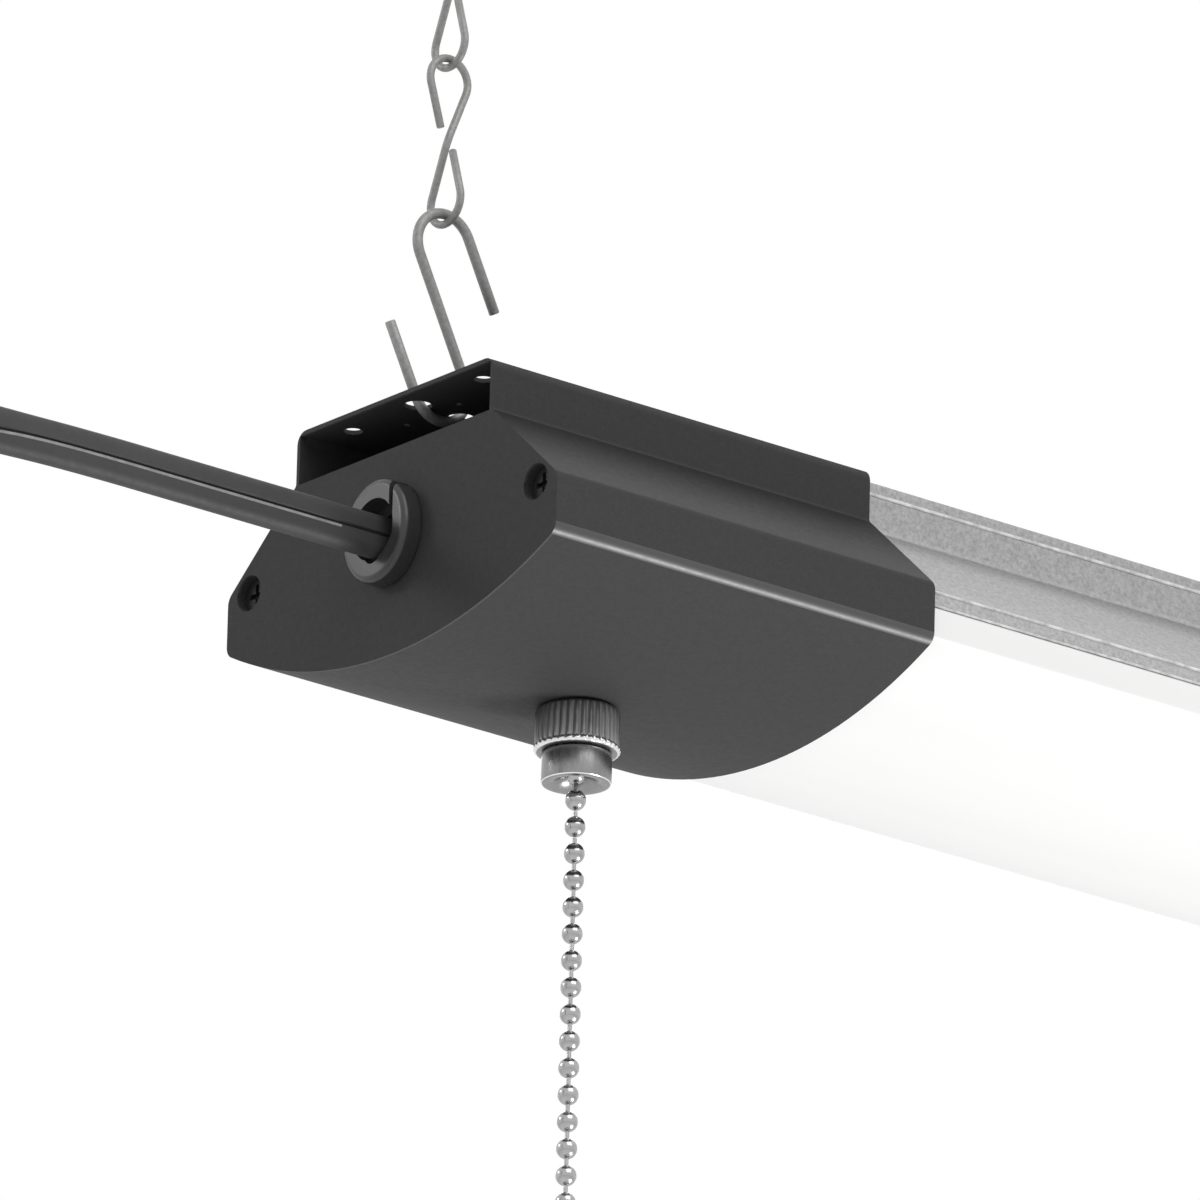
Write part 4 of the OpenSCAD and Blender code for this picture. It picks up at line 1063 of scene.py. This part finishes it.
class SHOPLIGHT_OT_hangers(Undoable, Operator):
    """Make the S-hooks, the jack chains' links and the ceiling hooks at both ends"""

    bl_idname = "shoplight.hangers"
    bl_label = "Hangers"

    def execute(self, context):
        zinc = zinc_wire()
        for name, mesh, node, body in (
            ("s_hook_wire", s_hook_mesh(), "s_hook", "hanger"),
            ("lower_chain_link", link_mesh(LOWER_LINK_Z), "lower_link", "hanger"),
            ("upper_chain_link", link_mesh(UPPER_LINK_Z), "upper_link", "top_link"),
            ("screw_hook", ceiling_hook_mesh(), "ceiling_hook", None),
        ):
            for end, half in (("front_", mesh), ("rear_", mirrored_mesh(mesh))):
                piece(end + name, half, zinc, (end + node,),
                      end + body if body else "ceiling", sharp=45)
        return {"FINISHED"}


class SHOPLIGHT_OT_pull_switch(Undoable, Operator):
    """Make the pull switch's knurled nut and ferrule"""

    bl_idname = "shoplight.pull_switch"
    bl_label = "Pull Switch"

    def execute(self, context):
        nut = piece("knurled_nut", nut_mesh(), bright_nickel("bright_nickel", 0.37),
                    ("switch_nut",), sharp=50)
        ferrule = piece("ferrule", ferrule_mesh(), bright_nickel("smooth_nickel", 0.28),
                        ("switch_ferrule",), sharp=50)
        # The rims are polished, and their colour, much lighter than the nickel, also paints in a
        # highlight.
        rim = polished_plating("polished_rim", (0.78, 0.78, 0.78), 0.94, 0.22)
        for obj, top_z, reach in (
            (nut, NUT_BOTTOM_Z + NUT_RIM_HEIGHT, sizes().nut_diameter / 2 - NUT_RIM_WIDTH * MM),
            (ferrule, FERRULE_BOTTOM_Z + FERRULE_RIM_HEIGHT, FERRULE_RIM_REACH * MM),
        ):
            top = at(SWITCH_X, 0, top_z)
            mark_faces(obj, rim, lambda p: p.z < top.z and (p - top).xy.length > reach)
        return {"FINISHED"}


class SHOPLIGHT_OT_pull_chain(Undoable, Operator):
    """Make the bead chain and its bell"""

    bl_idname = "shoplight.pull_chain"
    bl_label = "Pull Chain"

    def execute(self, context):
        plating = polished_plating("bead_plating", finishes().beads, 0.93, 0.24)
        s = sizes()
        pitch = s.bead_pitch / MM
        stub = pitch - s.bead / MM - 0.2
        for name, mesh, node, body in (
            ("bead_chain_top", bead_run(FIRST_BEAD_Z + BEADS_INSIDE * pitch, BEADS_INSIDE + 1),
             "pull_chain_head", "chain_head"),
            ("bead_chain_second", bead_run(FIRST_BEAD_Z - pitch, 1, stub),
             "pull_chain_joint", "chain_knuckle"),
            ("bead_chain_run", bead_run(FIRST_BEAD_Z - 2 * pitch, s.beads - 1, stub),
             "pull_chain", "chain_tail"),
            ("chain_bell", bell_mesh(), "pull_bell", "chain_tail"),
        ):
            piece(name, mesh, plating, (node,), body, sharp=60)
        return {"FINISHED"}


class SHOPLIGHT_OT_inside(Undoable, Operator):
    """Finish the pieces inside the housing and the switch"""

    bl_idname = "shoplight.inside"
    bl_label = "Inside Pieces"

    def execute(self, context):
        for nodes, *look in (
            (["led_tray"], "white_tray_paint", (0.80, 0.80, 0.79), 0.35, 400, 0.02),
            (["front_led_board", "rear_led_board"], "white_board", (0.80, 0.80, 0.76), 0.45,
             700, 0.02),
            (["front_leds", "rear_leds"], "phosphor", (0.80, 0.68, 0.22), 0.3, 2500, 0.08),
            (["driver_case"], "driver_shell", (0.10, 0.10, 0.105), 0.5, 1200, 0.08),
            (["driver_lid"], "driver_lid_shell", (0.22, 0.22, 0.225), 0.5, 1200, 0.08),
            (["live_wire", "switched_wire"], "black_insulation", (0.02, 0.02, 0.02), 0.35),
            (["neutral_wire"], "white_insulation", (0.75, 0.75, 0.73), 0.35),
            (["led_leads"], "red_insulation", (0.45, 0.03, 0.025), 0.35),
            (["switch_case", "switch_cover"], "phenolic", (0.055, 0.045, 0.04), 0.3, 900, 0.15),
            (["switch_bushing", "switch_lock_nut"], "turned_brass", (0.60, 0.44, 0.19), 0.28,
             1500, 0.06, 1.0),
            (["switch_drum"], "drum_nylon", (0.42, 0.42, 0.40), 0.45),
            (["drum_pin"], "pin_steel", (0.35, 0.35, 0.36), 0.3, 900, 0.05, 0.9),
        ):
            finish = plain_finish(*look)
            for node in nodes:
                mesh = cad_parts[node].data
                mesh.materials.clear()
                mesh.materials.append(finish)
        return {"FINISHED"}


class SHOPLIGHT_OT_stage(Undoable, Operator):
    """Set up the pale floor, the lamps and the white surround"""

    bl_idname = "shoplight.stage"
    bl_label = "Stage"

    def execute(self, context):
        scene = context.scene
        scene.view_settings.view_transform = "Standard"
        scene.world = bpy.data.worlds.new("studio")
        scene.world.use_nodes = True
        tree = scene.world.node_tree
        seen = tree.nodes["Background"]
        give(tree, seen, {"Color": WHITE})
        fill = add_node(tree, "Background", {"Color": WHITE, "Strength": SURROUND_LIGHT})
        mix = add_node(tree, "MixShader", {"Fac": seen_rays(tree), 1: fill.outputs[0],
                                           2: seen.outputs[0]})
        give(tree, tree.nodes["World Output"], {"Surface": mix.outputs[0]})

        mesh = mesh_from([(x * FLOOR_HALF, y * FLOOR_HALF, FLOOR_Z)
                          for x, y in ((-1, -1), (1, -1), (1, 1), (-1, 1))], [(0, 1, 2, 3)])
        mesh.flip_normals()
        mesh.materials.append(pale_floor())
        floor = placed("floor", mesh)

        for name, place, target, size, power in LAMPS:
            data = bpy.data.lights.new(name, "AREA")
            data.shape = "RECTANGLE"
            data.size, data.size_y = size
            data.energy = power
            lamp = placed(name, data)
            lamp.location = place
            lamp.visible_camera = False
            aim = Vector(target) - Vector(place)
            lamp.rotation_euler = aim.to_track_quat("-Z", "Y").to_euler()
        return {"FINISHED"}


OPERATORS = (
    SHOPLIGHT_OT_camera, SHOPLIGHT_OT_cord, SHOPLIGHT_OT_end_caps, SHOPLIGHT_OT_housing,
    SHOPLIGHT_OT_strain_relief, SHOPLIGHT_OT_screws, SHOPLIGHT_OT_hangers,
    SHOPLIGHT_OT_pull_switch, SHOPLIGHT_OT_pull_chain, SHOPLIGHT_OT_inside, SHOPLIGHT_OT_stage,
)


class SHOPLIGHT_PT_pieces(Panel):
    """Lists the light's pieces, with their sizes and colours"""

    bl_label = "Shop Light"
    bl_idname = "SHOPLIGHT_PT_pieces"
    bl_space_type = "VIEW_3D"
    bl_region_type = "UI"
    bl_category = "Shop Light"

    def draw(self, context):
        for operator in OPERATORS:
            self.layout.operator(operator.bl_idname)
        for group in (context.scene.shop_light_sizes, context.scene.shop_light_finishes):
            column = self.layout.column(align=True)
            for name in group.__annotations__:
                column.prop(group, name)


CLASSES = (LightSizes, LightFinishes) + OPERATORS + (SHOPLIGHT_PT_pieces,)


def register():
    for cls in CLASSES:
        bpy.utils.register_class(cls)
    bpy.types.Scene.shop_light_sizes = PointerProperty(type=LightSizes)
    bpy.types.Scene.shop_light_finishes = PointerProperty(type=LightFinishes)


def unregister():
    del bpy.types.Scene.shop_light_finishes
    del bpy.types.Scene.shop_light_sizes
    for cls in reversed(CLASSES):
        bpy.utils.unregister_class(cls)


def main():
    register()
    bpy.ops.shoplight.camera()
    bpy.ops.shoplight.cord()
    bpy.ops.shoplight.end_caps()
    bpy.ops.shoplight.housing()
    bpy.ops.shoplight.strain_relief()
    bpy.ops.shoplight.screws()
    bpy.ops.shoplight.hangers()
    bpy.ops.shoplight.pull_switch()
    bpy.ops.shoplight.pull_chain()
    bpy.ops.shoplight.inside()
    bpy.ops.shoplight.stage()


if __name__ == "__main__":
    main()
